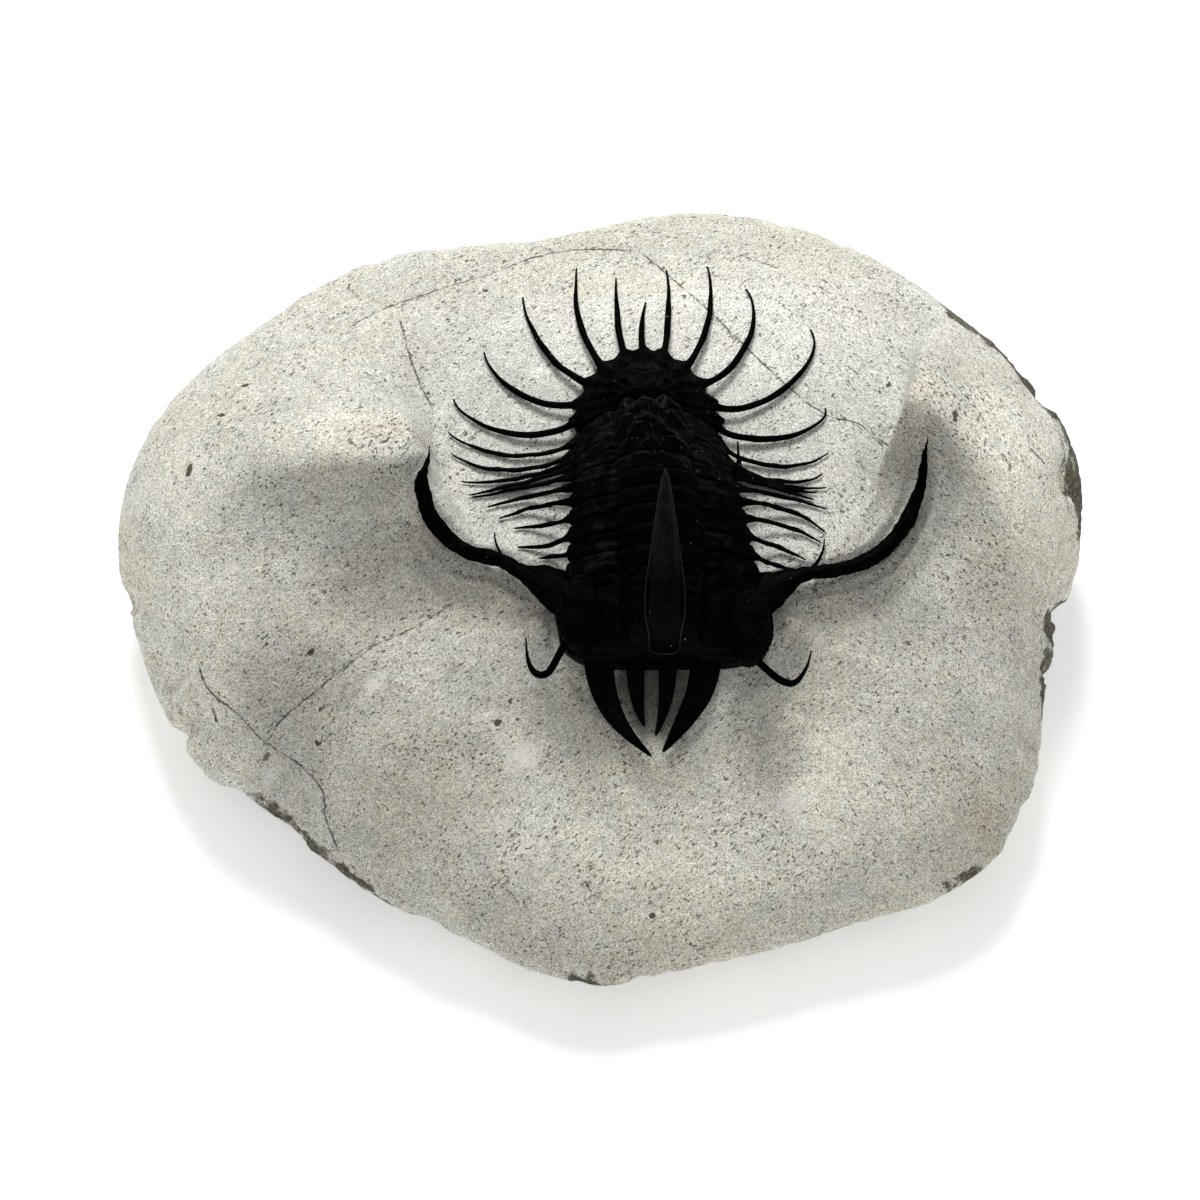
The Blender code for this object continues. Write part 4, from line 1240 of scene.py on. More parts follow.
@dataclass
class Thorax:
    """The eleven segments, each a curved band that ends in a spine at both sides."""

    body: BodyForm
    stone: Nodule
    shell: float = 1.1
    gap: float = 0.2
    spine_radius: float = 0.36
    tip_radius: float = 0.13
    lift: float = 0.42
    plate_steps: int = 116
    spine_steps: int = 34
    top_steps: int = 14
    under_steps: int = 9
    spiked: int = 7
    spikes: tuple[tuple[float, float, float, float], ...] = (
        (7, 0.985, 2.4, 4.2), (6.5, 0.995, 1.5, 2.6))
    right: tuple[SpinePlan, ...] = (
        SpinePlan(4, 12, 5), SpinePlan(7, -9, 1.8), SpinePlan(9.2, -15.3, -13),
        SpinePlan(12.1, -11.9, -25.6), SpinePlan(13.6, -15.3, -32.4), SpinePlan(14.2, -8.8, -11),
        SpinePlan(13.1, -12.9, -6.8), SpinePlan(14.1, -14.6, 8.5), SpinePlan(16.2, -15.2, 24.9),
        SpinePlan(16, -12.8, 51.8), SpinePlan(17, -5.1, 53.6))
    left: tuple[SpinePlan, ...] = (
        SpinePlan(3.5, 10, 5), SpinePlan(5, 7.6, -16.1), SpinePlan(8.2, -1.6, 15.1),
        SpinePlan(8.9, -0.2, -0.7), SpinePlan(11.5, -7.4, -21.4), SpinePlan(13.3, -8.4, -7.9),
        SpinePlan(15.9, -9.6, -2.2), SpinePlan(16.8, -13.7, 2.4), SpinePlan(18.1, -10.7, 17.2),
        SpinePlan(19.4, -0.1, 42.7), SpinePlan(20.1, 5.6, 42.8))
    spike_radii: tuple[float, float] = (0.36, 0.12)
    dull_segments: int = 5
    # Relief of a band: each ridge or furrow as height, place and spread.
    ring_ridge: Ridge = Ridge(0.62, 0.66, 0.27)
    ring_furrow: Ridge = Ridge(-0.30, 0.16, 0.10)
    edge_ridge: Ridge = Ridge(0.42, 0.52, 0.36)
    axial_furrow: Ridge = Ridge(-0.20, 0.475, 0.05)
    shoulder: Ridge = Ridge(-0.28, 0.80, 0.03)
    fold_period: float = 1.9
    fold_height: float = 0.55
    seam: Ridge = Ridge(0.55, 0.0, 0.05)
    seam_side: Ridge = Ridge(0.15, 0.13, 0.05)
    row_height: float = 0.10
    worn_numbers: tuple[float, float] = (5.0, 7.5)
    grains: tuple[Grain, ...] = (Grain(0.22, 1.9, 3, 61.0), Grain(0.10, 0.6, 3, 67.0))
    front_relief: tuple[float, float] = (0.55, 0.80)
    rear_relief: tuple[float, float] = (0.22, 0.50)
    # Underside that slides below the band ahead: place along the band, and depth in shells.
    tongue: Places = (
        (0, 0.42), (-0.10, 0.60), (-0.26, 0.68), (-0.30, 0.82), (-0.24, 1), (0, 1), (0.35, 1),
        (0.62, 0.9), (0.86, 0.42))
    flare: tuple[float, float] = (0.95, 0.18)

    def relief(self, s: Array, u: Array) -> Array:
        """Height of a band's ridges: s runs from its front edge to its rear one.

        Args:
            s: Place from front to back, 0 to 1.
            u: Place across the body, -1 to 1.

        Returns:
            The height over the arched form.
        """
        out = np.abs(u)
        axial = 1.0 - ease(0.38, 0.46, out)
        ring = self.ring_ridge.at(s) + self.ring_furrow.at(s)
        furrow = 0.40 + 0.16 * out
        pleura = 0.30 * hump(s, furrow - 0.25, 0.15) + 0.46 * hump(s, furrow + 0.28, 0.19)
        side = mix(pleura, self.edge_ridge.at(s), ease(0.84, 0.95, out))
        return mix(side, ring, axial) + self.axial_furrow.at(out) + self.shoulder.at(out)

    def wear(self, number: int, s: Array, u: float) -> Array:
        """Chevron ridges and the seam on the midline, which the rear segments show most."""
        out = abs(u)
        rear = float(ease(*self.worn_numbers, number))
        along = number + s + 5.5 * out + 0.25 * math.sin(9.0 * u)
        folds = self.fold_height * np.cos(math.tau * along / self.fold_period)
        folds = folds * (1.0 - ease(0.40, 0.62, out))
        rows = np.cos(math.tau * 3.0 * (s + 0.2 * math.sin(7.0 * u + number)))
        rows = self.row_height * rows * ease(0.45, 0.6, out) * (1.0 - ease(0.80, 0.9, out))
        return rear * (folds - (self.seam.at(out) + self.seam_side.at(out))) + rows

    def plate_ring(self, number: int, u: float) -> Array:
        """Points round one band at a place across the body, from its rear edge over the top."""
        inset = 0.5 * self.gap / self.body.pitch
        s = np.linspace(1.0, 0.0, self.top_steps)
        side = float(ease(0.38, 0.5, abs(u)))
        rear = float(ease(*self.worn_numbers, number))
        plain = mix(mix(*self.front_relief, side), mix(*self.rear_relief, side), rear)
        depth = -self.relief(s, np.full(s.shape, u)) * plain - self.wear(number, s, u)
        top = self.body.point(number - 0.5 + s, np.full(s.shape, u))
        uneven = sum(grain.at(top) for grain in self.grains)
        depth -= uneven * (1.0 - ease(0.97, 1.0, abs(u)))
        depth += 0.22 * (hump(s, 1.0, 0.06) + hump(s, 0.0, 0.06))
        tongue_s, tongue_depth = np.array(self.tongue).T
        reach = 1.0 - ease(0.86, 0.97, abs(u))
        tongue_s = np.where(tongue_s < 0.0, tongue_s * reach, tongue_s)
        s = np.concatenate([s, tongue_s])
        depth = np.concatenate([depth, tongue_depth * self.shell])
        k = number - 0.5 + inset + s * (1.0 - 2.0 * inset)
        up = self.body.normal(np.full(s.shape, float(number)), np.full(s.shape, u))
        return self.body.point(k, np.full(s.shape, u)) - up * depth[:, None]

    def spine_rings(self, number: int, side: Side) -> tuple[list[Array], Array]:
        """Rings of one spine from the root outwards, and its tip."""
        plan = (self.right if side is Side.RIGHT else self.left)[number - 1]
        u = float(side.value)
        inward = self.body.normal(float(number), u) * (0.45 * self.shell)
        root = self.body.point(float(number), u) - inward
        shares = np.linspace(0.0, 1.0, self.spine_steps + 1) ** 1.25
        path = plan.course(self.stone, root, side, shares, self.lift)
        path = wobble(path, 0.22, 2.4, number * 3.1 + side.value)
        flow = path if side is Side.RIGHT else path[::-1]
        across, up = frames(flow)
        if side is Side.LEFT:
            across, up = across[::-1], up[::-1]
        thick = mix(self.spine_radius, self.tip_radius, ease(0.5, 1.0, shares) ** 1.2)
        uneven = 1.0 + 0.24 * rough(path, 1.1, 2, number * 1.7)
        flare = (1.0 - ease(0.0, 0.26, shares)) ** 2
        wide = thick * uneven + (self.flare[0] - self.spine_radius) * flare
        high = thick * uneven + self.flare[1] * flare
        turns = np.concatenate([np.linspace(0.0, math.pi, self.top_steps),
                                np.linspace(math.pi, math.tau, self.under_steps + 2)[1:-1]])
        c, s = np.cos(turns), np.sin(turns)
        rings = [path[i] + np.outer(c, across[i]) * wide[i] + np.outer(s, up[i]) * high[i]
                 for i in range(1, len(path) - 1)]
        return rings, path[-1]

    def build_spikes(self, finish: Material, spines: SpineTree) -> Piece:
        """Make the two short upright spikes on the right margin of the seventh segment."""
        lines = []
        for number, u, rise, back in self.spikes:
            root = self.body.point(number, u) - np.array([0.0, 0.0, 0.3])
            middle, tip = (0.9, 0.3 * back, 0.5 * rise), (0.9, back, rise)
            path = smooth_curve([root, root + middle, root + tip], 16)
            lines.append((path, mix(*self.spike_radii, np.linspace(0.0, 1.0, 17) ** 1.4)))
        mesh = spines.sweep("margin_spikes", lines, 10, 0.3, 12.0, finish)
        return put("margin_spikes", mesh, finish, f"thoracic_segment_{self.spiked:02d}")

    def build(self, finish: Material, dull: Material,
              spines: SpineTree) -> list[Piece]:
        """Make every segment as one closed mesh, the front ones in the duller finish."""
        pieces = [self.build_spikes(finish, spines)]
        across = np.sin(0.5 * math.pi * np.linspace(-1.0, 1.0, self.plate_steps + 1))
        across = 0.35 * across + 0.65 * np.linspace(-1.0, 1.0, self.plate_steps + 1)
        for number in range(1, self.body.segments + 1):
            left, left_tip = self.spine_rings(number, Side.LEFT)
            right, right_tip = self.spine_rings(number, Side.RIGHT)
            rings = left[::-1] + [self.plate_ring(number, float(u)) for u in across] + right
            mesh = Shape.loft(rings, left_tip, right_tip).mesh("segment")
            mark(mesh, "wear_and_sheen", self.body.grazed)
            node = f"thoracic_segment_{number:02d}"
            chosen = dull if number <= self.dull_segments else finish
            pieces.append(put(f"segment_{number:02d}_shell", mesh, chosen, node))
        return pieces


@dataclass
class TailShield:
    """The tail shield with its rachis, ribs and rim, and the eleven spines round it."""

    body: BodyForm
    stone: Nodule
    shell: float = 1.15
    rachis_height: float = 1.0
    rachis_half_width: float = 2.7
    rachis_end: float = 31.5
    rib_height: float = 0.30
    rib_half_width: float = 0.5
    spine_radius: float = 0.50
    tip_radius: float = 0.15
    lift: float = 0.5
    sectors: int = 200
    rings: int = 54
    roots: tuple[float, ...] = (9, 21, 37, 54, 74)
    right: tuple[SpinePlan, ...] = (
        SpinePlan(17, 8.7, 91.9), SpinePlan(20.9, 41.4, 77.9), SpinePlan(19.8, 67.9, 51.5),
        SpinePlan(20.9, 79.6, 22.8), SpinePlan(17.9, 87.5, 7.4))
    left: tuple[SpinePlan, ...] = (
        SpinePlan(19.5, 12.4, 60.1), SpinePlan(17.8, 33.5, 48.8), SpinePlan(19.8, 58.6, 27.9),
        SpinePlan(20.8, 78.4, 19.5), SpinePlan(16.2, 85.1, 6.2))
    middle: SpinePlan = SpinePlan(10.7, 88.7, -9.4)
    web: float = 0.15
    ring_height: float = 0.16
    ring_period: float = 1.35
    border_furrow: Ridge = Ridge(0.22, 0.80, 0.05)
    fine_seam: Ridge = Ridge(0.3, 0.0, 0.22)
    wide_seam: Ridge = Ridge(0.55, 0.0, 0.7)
    seam_side: Ridge = Ridge(0.2, 1.7, 0.6)
    grains: tuple[Grain, ...] = (Grain(0.22, 1.9, 3, 71.0), Grain(0.10, 0.6, 3, 73.0))
    fold_height: float = 0.32
    folds: float = 24.0
    root_swell: float = 0.55
    root_pinch: float = 0.85

    def form(self, turn: Any, share: Any) -> Array:
        """A point of the shield's plain form: turn goes from right to left, share outwards."""
        body = self.body
        front = body.segments + 0.5 + 0.08
        axis, margin = body.axis(front), body.margin(front)
        end = body.tail_front + body.tail_length
        rim_y = margin[0] + (end - margin[0]) * np.sin(turn)
        rim_x = body.midline(rim_y) + body.tail_half_width * np.cos(turn)
        rim_z = mix(margin[1], body.tail_end_z, np.sin(turn))
        drop = 1.0 - body.lobes(share)
        x = mix(body.midline(axis[0]), rim_x, share)
        y = mix(axis[0], rim_y, drop)
        z = mix(axis[1], rim_z, drop)
        return np.stack(np.broadcast_arrays(x, y, z), axis=-1)

    def root_turns(self) -> list[tuple[float, Side, SpinePlan]]:
        """Turn, side and plan of every spine."""
        rows = []
        for degrees, right, left in zip(self.roots, self.right, self.left):
            rows.append((math.radians(degrees), Side.RIGHT, right))
            rows.append((math.radians(180.0 - degrees), Side.LEFT, left))
        rows.append((0.5 * math.pi, Side.RIGHT, self.middle))
        return rows

    def surface(self, turn: Array, share: Array) -> Array:
        """A grid of points of the carved shield."""
        points = self.form(turn, share)
        toward = np.zeros(turn.shape)
        for root, _, _ in self.root_turns():
            toward = np.maximum(toward, np.exp(-np.abs(turn - root) / 0.085))
        rim = ease(0.82, 1.0, share)
        centre = self.form(turn, share * 0.0)
        flat = points - centre
        points = points + flat * (rim * (self.web * toward - 0.05))[..., None] * (1.0, 1.0, 0.0)
        off = points[..., 0] - self.body.midline(points[..., 1])
        start = self.form(0.5 * math.pi, 0.0)[1]
        along = (points[..., 1] - start) / (self.rachis_end - start)
        width = self.rachis_half_width * (1.0 - 0.42 * np.clip(along, 0.0, 1.0))
        behind = ease(-0.02, 0.25, along) * (1.0 - ease(0.9, 1.12, along))
        rachis = np.exp(-(np.abs(off) / width) ** 3.0) * behind
        rings = self.ring_height * np.cos(math.tau * points[..., 1] / self.ring_period)
        rings = rings * rachis * (1.0 - ease(0.5, 1.0, along))
        ribs = np.zeros(turn.shape)
        for n, (root, side, _) in enumerate(self.root_turns()[:-1]):
            foot = self.form(root, 1.0)
            y = start + 0.6 + 1.9 * (n // 2)
            x = self.body.midline(y) + side.value * self.rachis_half_width * 0.7
            bend = ((x + foot[0]) * 0.5 + side.value * 1.2, (y + foot[1]) * 0.5 - 0.5)
            path = smooth_curve(((x, y), bend, (foot[0], foot[1])), 12)
            distance, _, place = path_distance(points[..., 0], points[..., 1], path)
            rib = hump(distance, 0.0, self.rib_half_width) * ease(0.0, 0.15, place)
            ribs = np.maximum(ribs, rib)
        ribs *= 1.0 - 0.6 * rachis
        furrow = self.border_furrow.at(share)
        seam = self.fine_seam.at(off) * ease(0.1, 0.4, along)
        raised = self.rachis_height * rachis + rings + self.rib_height * ribs
        points[..., 2] += raised - furrow - seam
        flat_points = points.reshape(-1, 3)
        uneven = sum(grain.at(flat_points) for grain in self.grains)
        points[..., 2] += uneven.reshape(turn.shape)
        waver = 0.35 * np.sin(5.0 * share + 3.0 * turn)
        folds = np.cos(self.folds * np.abs(turn - 0.5 * math.pi) + waver)
        folds = folds * ease(0.12, 0.4, share) * (1.0 - ease(0.9, 1.0, share))
        points[..., 2] += self.fold_height * folds * (1.0 - 0.5 * rachis)
        aside = np.abs(points[..., 0] - self.body.midline(points[..., 1]))
        seam = self.wide_seam.at(aside) - self.seam_side.at(aside)
        points[..., 2] -= seam * (1.0 - ease(0.8, 0.95, share))
        return points

    def build(self, finish: Material, spines: SpineTree) -> list[Piece]:
        """Make the shield and its spines."""
        turns = np.linspace(0.0, math.pi, self.sectors + 1)
        shares = np.sin(0.5 * math.pi * np.linspace(0.0, 1.0, self.rings + 1))
        share, turn = np.meshgrid(shares, turns, indexing="ij")
        top = self.surface(turn, share)
        under = top.copy()
        under[..., 2] = self.form(turn, share)[..., 2] - self.shell
        mesh = Shape.slab(top, under).mesh("tail")
        shield = put("tail_shield", mesh, finish, "pygidium")
        lines = []
        for n, (root_turn, side, plan) in enumerate(self.root_turns()):
            shares = np.linspace(0.0, 1.0, 34)
            root = self.form(root_turn, 0.94) - (0.0, 0.0, 0.42)
            path = plan.course(self.stone, root, side, shares, self.lift)
            path = wobble(path, 0.2, 4.0, 20.0 + n)
            radius = mix(self.spine_radius, self.tip_radius, ease(0.3, 1.0, shares) ** 1.4)
            swell = self.root_swell * (1.0 - ease(0.0, 0.2, shares)) ** 2
            pinch = self.root_pinch * (1.0 - ease(0.0, 0.07, shares))
            lines.append((path, radius * (1.0 + swell - pinch)))
        mesh = spines.sweep("tail_spines", lines, 14, 0.45, 2.0, finish)
        return [shield, put("tail_spines", mesh, finish, "pygidium")]


@dataclass
class HeadShield:
    """The head shield with its glabella, cheeks, eyes, horn, fork and spines."""

    body: BodyForm
    stone: Nodule
    half_width: float = 16.6
    front_half_width: float = 15.2
    front_y: float = -16.6
    top_z: float = 43.4
    front_z: float = 32.0
    edge: float = 2.0
    glabella: float = 0.36
    eye_offset: float = 12.2
    eye_right: tuple[float, float] = (-14.3, 37.4)
    eye_left: tuple[float, float] = (-12.4, 38.5)
    eye_radii: tuple[float, float, float] = (3.3, 4.3, 5.8)
    lens_files: int = 19
    lens_rows: int = 7
    lens_radius: float = 0.36
    lens_bulge: float = 0.62
    columns: int = 200
    rows: int = 90
    horn: Places = ((-12.6, 34), (-12.4, 38.5), (-10.9, 43), (-7.8, 48), (-3.5, 52.6), (2.2, 56.3))
    horn_half_width: float = 2.55
    horn_squareness: float = 0.76
    horn_half_depth: float = 4.2
    horn_widths: Places = (
        (0, 1.16), (0.12, 1.32), (0.3, 1.32), (0.45, 1.14), (0.6, 0.9), (0.75, 0.64), (0.88, 0.37),
        (1, 0.06))
    cheek_right: Places = (
        (11.5, -7.6), (16.4, -5.2), (20.1, -3.3), (24.5, -2.5), (27.5, -1.8), (30.4, -0.6),
        (32.7, 1), (35.7, 4.9), (37.8, 9.5), (38.7, 13.6), (39, 15.9))
    cheek_left: Places = (
        (11.5, -8.2), (17.5, -4.5), (21.2, -2.7), (24.2, -0.9), (28.6, -0.2), (31.5, 1.4),
        (34.1, 3.9), (35.3, 6.3), (35.6, 8.6), (34.9, 10.6), (34.6, 14.6))
    cheek_radius: float = 1.1
    cheek_flare: float = 3.2
    spinelets: tuple[tuple[int, SpinePlan], ...] = (
        (15, SpinePlan(7, 62, 30)), (12, SpinePlan(8.8, 56, 34)))
    hook_right: tuple[tuple[float, float, float], ...] = (
        (9.6, -12.5, 38), (10.8, -15, 37), (14.6, -18, 33.4), (18.4, -19.4, 31.2),
        (20.6, -17.4, 31.6), (21.6, -14.6, 32.4))
    hook_left: tuple[tuple[float, float, float], ...] = (
        (12.5, -12.5, 37), (14.9, -15.7, 35), (16.9, -17.9, 31.9), (18.8, -17.8, 31.4),
        (20, -15.6, 31.9), (20.3, -12.6, 32.8))
    hook_radius: float = 0.56
    fork: tuple[tuple[Places, float], ...] = (
        (((-0.2, -14.5), (-0.1, -17), (0.6, -20.3), (2, -23.4), (4.2, -26.2), (7.6, -29.3)), 2.2),
        (((5.1, -14.5), (5.2, -17.5), (5.4, -20.5), (5.8, -23), (6.5, -25.2)), 1.4),
        (((10, -14.5), (9.9, -17.5), (9.7, -20.5), (9.1, -23.6), (8.1, -26.5)), 1.4),
        (((15.7, -14.5), (15.3, -17.5), (14.5, -20.5), (12.9, -23.4), (11, -26.2), (9.1, -28.7)),
         2.3))
    fork_thickness: float = 0.62
    fork_lift: float = 0.9
    # Carving of the shield: each ridge or furrow as height, place and spread.
    front_lobe: Ridge = Ridge(0.9, 0.70, 0.22)
    side_furrows: tuple[float, ...] = (0.24, 0.38, 0.52)
    neck_furrow: Ridge = Ridge(-0.5, 0.10, 0.03)
    neck_ring: Ridge = Ridge(0.25, 0.03, 0.04)
    axial_furrow: Ridge = Ridge(-0.55, 0.375, 0.022)
    cheek_furrow: Ridge = Ridge(-0.45, 0.13, 0.035)
    cheek_border: Ridge = Ridge(0.30, 0.05, 0.05)
    side_border_furrow: Ridge = Ridge(-0.45, 0.90, 0.025)
    front_border_furrow: Ridge = Ridge(-0.40, 0.93, 0.02)
    grains: tuple[Grain, ...] = (Grain(0.12, 1.8, 3, 81.0), Grain(0.05, 0.5, 2, 83.0))
    # Painted sheen: the horn's upper part is coloured lighter, from the height where it starts to
    # where it is full.
    horn_painted_sheen: tuple[float, float, float] = (0.40, 47.0, 50.0)
    horn_sheen_patches: Grain = Grain(2.5, 2.5, 2, 95.0)
    keel_radius: float = 0.15

    def cheek_path(self, side: Side, count: int = 72) -> Array:
        """Course of a long cheek spine over the stone."""
        keys = self.cheek_right if side is Side.RIGHT else self.cheek_left
        middle = self.body.midline_head
        plan = smooth_curve([(middle + side.value * out, y) for out, y in keys], count)
        beside = [self.stone.ground(plan[:, 0] + dx, plan[:, 1]) for dx in (-0.8, 0.0, 0.8)]
        ground = np.max(beside, axis=0)
        smoothing = np.ones(9) / 9.0
        ground = np.convolve(np.pad(ground, 4, mode="edge"), smoothing, mode="valid")
        settle = mix(0.6, -0.1, ease(0.15, 0.4, np.linspace(0.0, 1.0, count + 1)))
        return np.column_stack([plan, ground + self.cheek_radius + settle])

    def surface(self, u: Array, v: Array) -> Array:
        """A grid of points of the head's top: u from left to right, v from rear to front."""
        body = self.body
        front = 0.5 - 0.06
        across = np.clip(self.half_width * u / body.half_width(front), -1.0, 1.0)
        rear = body.point(np.full(u.shape, front), across)
        rear_x = body.midline(rear[..., 1]) + self.half_width * u
        x = mix(rear_x, body.midline(self.front_y) + self.front_half_width * u, v)
        y = mix(rear[..., 1], self.front_y + 3.2 * np.abs(u) ** 6, v)
        ridge = self.front_z + (self.top_z - self.front_z) * (1.0 - v ** 3) ** 0.6
        cheeks = 0.55 * (1.0 - np.abs(u) ** 2.5) ** 0.7
        glabella = 0.45 * np.maximum(1.0 - (u / self.glabella) ** 2, 0.0) ** 0.5
        form = mix(body.lobes(across), cheeks + glabella, ease(0.0, 0.3, v))
        edge = self.stone.ground(x, y) + self.edge
        z = edge + np.maximum(ridge - edge, 0.0) * form
        return np.stack([x, y, z + self.carving(u, v)], axis=-1)

    def carving(self, u: Array, v: Array) -> Array:
        """Furrows, lobes and borders of the head, as heights over its plain form."""
        out = np.abs(u)
        inner = 1.0 - ease(0.28, 0.36, out)
        cheek = ease(0.42, 0.5, out)
        height = self.front_lobe.at(v) * hump(out, 0.0, 0.26)
        for place in self.side_furrows:
            height -= 0.55 * hump(v, place + 0.25 * (0.30 - out), 0.028) * hump(out, 0.25, 0.075)
        height += self.neck_furrow.at(v) * inner
        height += self.neck_ring.at(v) * inner
        height += self.axial_furrow.at(out) * (1.0 - ease(0.75, 0.95, v))
        height += self.cheek_furrow.at(v) * cheek
        height += self.cheek_border.at(v) * cheek
        height += self.side_border_furrow.at(out) * ease(0.1, 0.2, v)
        height += self.front_border_furrow.at(v)
        return height * (1.0 - ease(0.985, 1.0, np.maximum(out, v)))

    def uneven(self, points: Array) -> Array:
        """The small unevenness of cleaned shell at points."""
        flat = points.reshape(-1, 3)
        return sum(grain.at(flat) for grain in self.grains).reshape(points.shape[:-1])

    def eye_point(self, side: Side, turn: Any, rise: Any) -> Array:
        """A point of an eye: turn from straight out towards the rear, rise from 0 to 1.

        Args:
            side: Which eye.
            turn: Angle round the eye's column.
            rise: 0 at the foot, 0.8 at the brow, 1 at the middle of the top.

        Returns:
            Points in millimetres.
        """
        middle = self.eye_right if side is Side.RIGHT else self.eye_left
        rx, ry, rz = self.eye_radii
        brow = np.clip(rise / 0.8, 0.0, 1.0)
        cap = np.clip((rise - 0.8) / 0.2, 0.0, 1.0)
        out = (0.90 + 0.16 * np.sin(math.pi * brow) - 0.05 * brow ** 4) * (1.0 - cap ** 1.5)
        dent = 1.0 - 0.16 * hump(np.cos(turn), -1.0, 0.5)
        x = self.body.midline_head + side.value * (self.eye_offset + rx * out * dent * np.cos(turn))
        y = middle[0] + ry * out * np.sin(turn)
        crown = 0.5 * np.sin(0.5 * math.pi * cap)
        top = rz * (1.55 * brow - 0.62) + crown - 0.08 * hump(cap, 0.45, 0.2)
        z = middle[1] + top + 0.12 * rz * np.sin(turn) * brow * (1.0 - cap ** 1.5)
        return np.stack(np.broadcast_arrays(x, y, z), axis=-1)

    def build_eyes(self, finish: Material, lenses: LensTree) -> list[Piece]:
        """Make both eyes with their rows of lenses."""
        shapes, places, facings = [], [], []
        turns = np.linspace(0.0, math.tau, 72, endpoint=False)
        for side in Side:
            rings = []
            rises = [*np.linspace(0.0, 0.8, 34), *np.linspace(0.8, 0.992, 14)[1:]]
            for rise in rises:
                ring = self.eye_point(side, turns, np.full(turns.shape, rise))
                upward = float(ease(0.75, 0.9, rise))
                rings.append(ring + 1.6 * self.uneven(ring)[:, None] * (0.4, 0.4, upward))
            shapes.append(Shape.loft(rings, None, self.eye_point(side, 0.0, 1.0)))
            for n in range(self.lens_files):
                turn = math.radians(mix(-112.0, 112.0, n / (self.lens_files - 1)))
                for row in range(self.lens_rows):
                    rise = 0.30 + 0.062 * (row + 0.5 * (n % 2))
                    place = self.eye_point(side, turn, rise)
                    by_turn = self.eye_point(side, turn + 0.02, rise) - place
                    by_rise = self.eye_point(side, turn, rise + 0.01) - place
                    facing = np.cross(by_turn, by_rise) * side.value
                    facings.append(facing / np.linalg.norm(facing))
                    places.append(place)
        eyes = put("eyes", Shape.joined(shapes).mesh("eyes"), finish, "cephalon")
        mesh = lenses.set_domes("lenses", np.array(places), np.array(facings), self.lens_radius,
                                self.lens_bulge, finish)
        return [eyes, put("eye_lenses", mesh, finish, "cephalon")]

    def build_horn(self, finish: Material, painted_highlight: Material,
                   spines: SpineTree) -> list[Piece]:
        """Make the tall horn that leans back, with painted sheen high up, and the fine keel round
        its front face as a painted highlight.
        """
        path = smooth_curve([(self.body.midline_head, y, z) for y, z in self.horn], 56)
        shares = np.linspace(0.0, 1.0, len(path))
        wide = np.interp(shares, *zip(*self.horn_widths)) * self.horn_half_width
        deep = 0.35 + (self.horn_half_depth - 0.35) * (1.0 - shares) ** 0.5
        shape = sweep(path, wide, deep, 48, self.horn_squareness, hint=(0.0, 1.0, 0.0))
        shape.points += 0.5 * self.uneven(shape.points)[:, None] * np.array([0.3, 1.0, 0.3])
        side, up = frames(path, (0.0, 1.0, 0.0))

        def on_front(i: int, turn: float) -> Array:
            """A place just over the horn's front face, at a step of its path."""
            over = np.abs((math.cos(turn), math.sin(turn))) ** self.horn_squareness * 1.01
            sideways = side[i] * wide[i] * over[0] * math.copysign(1.0, math.cos(turn))
            return path[i] + sideways - up[i] * deep[i] * over[1]

        rows = list(range(54, 3, -1))
        turns = mix(0.95, 0.3, ease(0.15, 0.5, shares))
        left = [on_front(i, math.pi - turns[i]) for i in rows]
        right = [on_front(i, turns[i]) for i in reversed(rows)]
        foot = [on_front(3, turn) for turn in np.linspace(math.pi - turns[3], turns[3], 18)]
        keel = np.array(left + foot + right)
        radius = np.full(len(keel), self.keel_radius)
        mesh = spines.sweep("horn_keel", [(keel, radius)], 8, 0.5, 9.0, finish)
        # Painted sheen on the horn's upper part, in the same mark as the segments' real wear.
        share, low, high = self.horn_painted_sheen
        horn = shape.mesh("horn")
        mark(horn, "wear_and_sheen",
             lambda points: share * ease(low, high, points[:, 2] + self.horn_sheen_patches.at(points)))
        return [put("horn", horn, finish, "cephalon"),
                # The keel is coloured lighter in its own finish: a painted highlight along the
                # horn's rim.
                put("horn_keel", mesh, painted_highlight, "cephalon")]

    def build_fork(self, finish: Material) -> Piece:
        """Make the flat four-pronged fork."""
        shapes = []
        for keys, width in self.fork:
            plan = smooth_curve(keys, 48)
            lift = self.fork_thickness + self.fork_lift
            path = np.column_stack([plan, self.stone.ground(plan[:, 0], plan[:, 1]) + lift])
            shares = np.linspace(0.0, 1.0, len(path))
            wide = mix(width, 0.16, shares ** 2.1)
            high = mix(self.fork_thickness, 0.18, shares ** 1.4)
            shapes.append(sweep(path, wide, high, 24, 0.85))
        return put("fork", Shape.joined(shapes).mesh("fork"), finish, "cephalon")

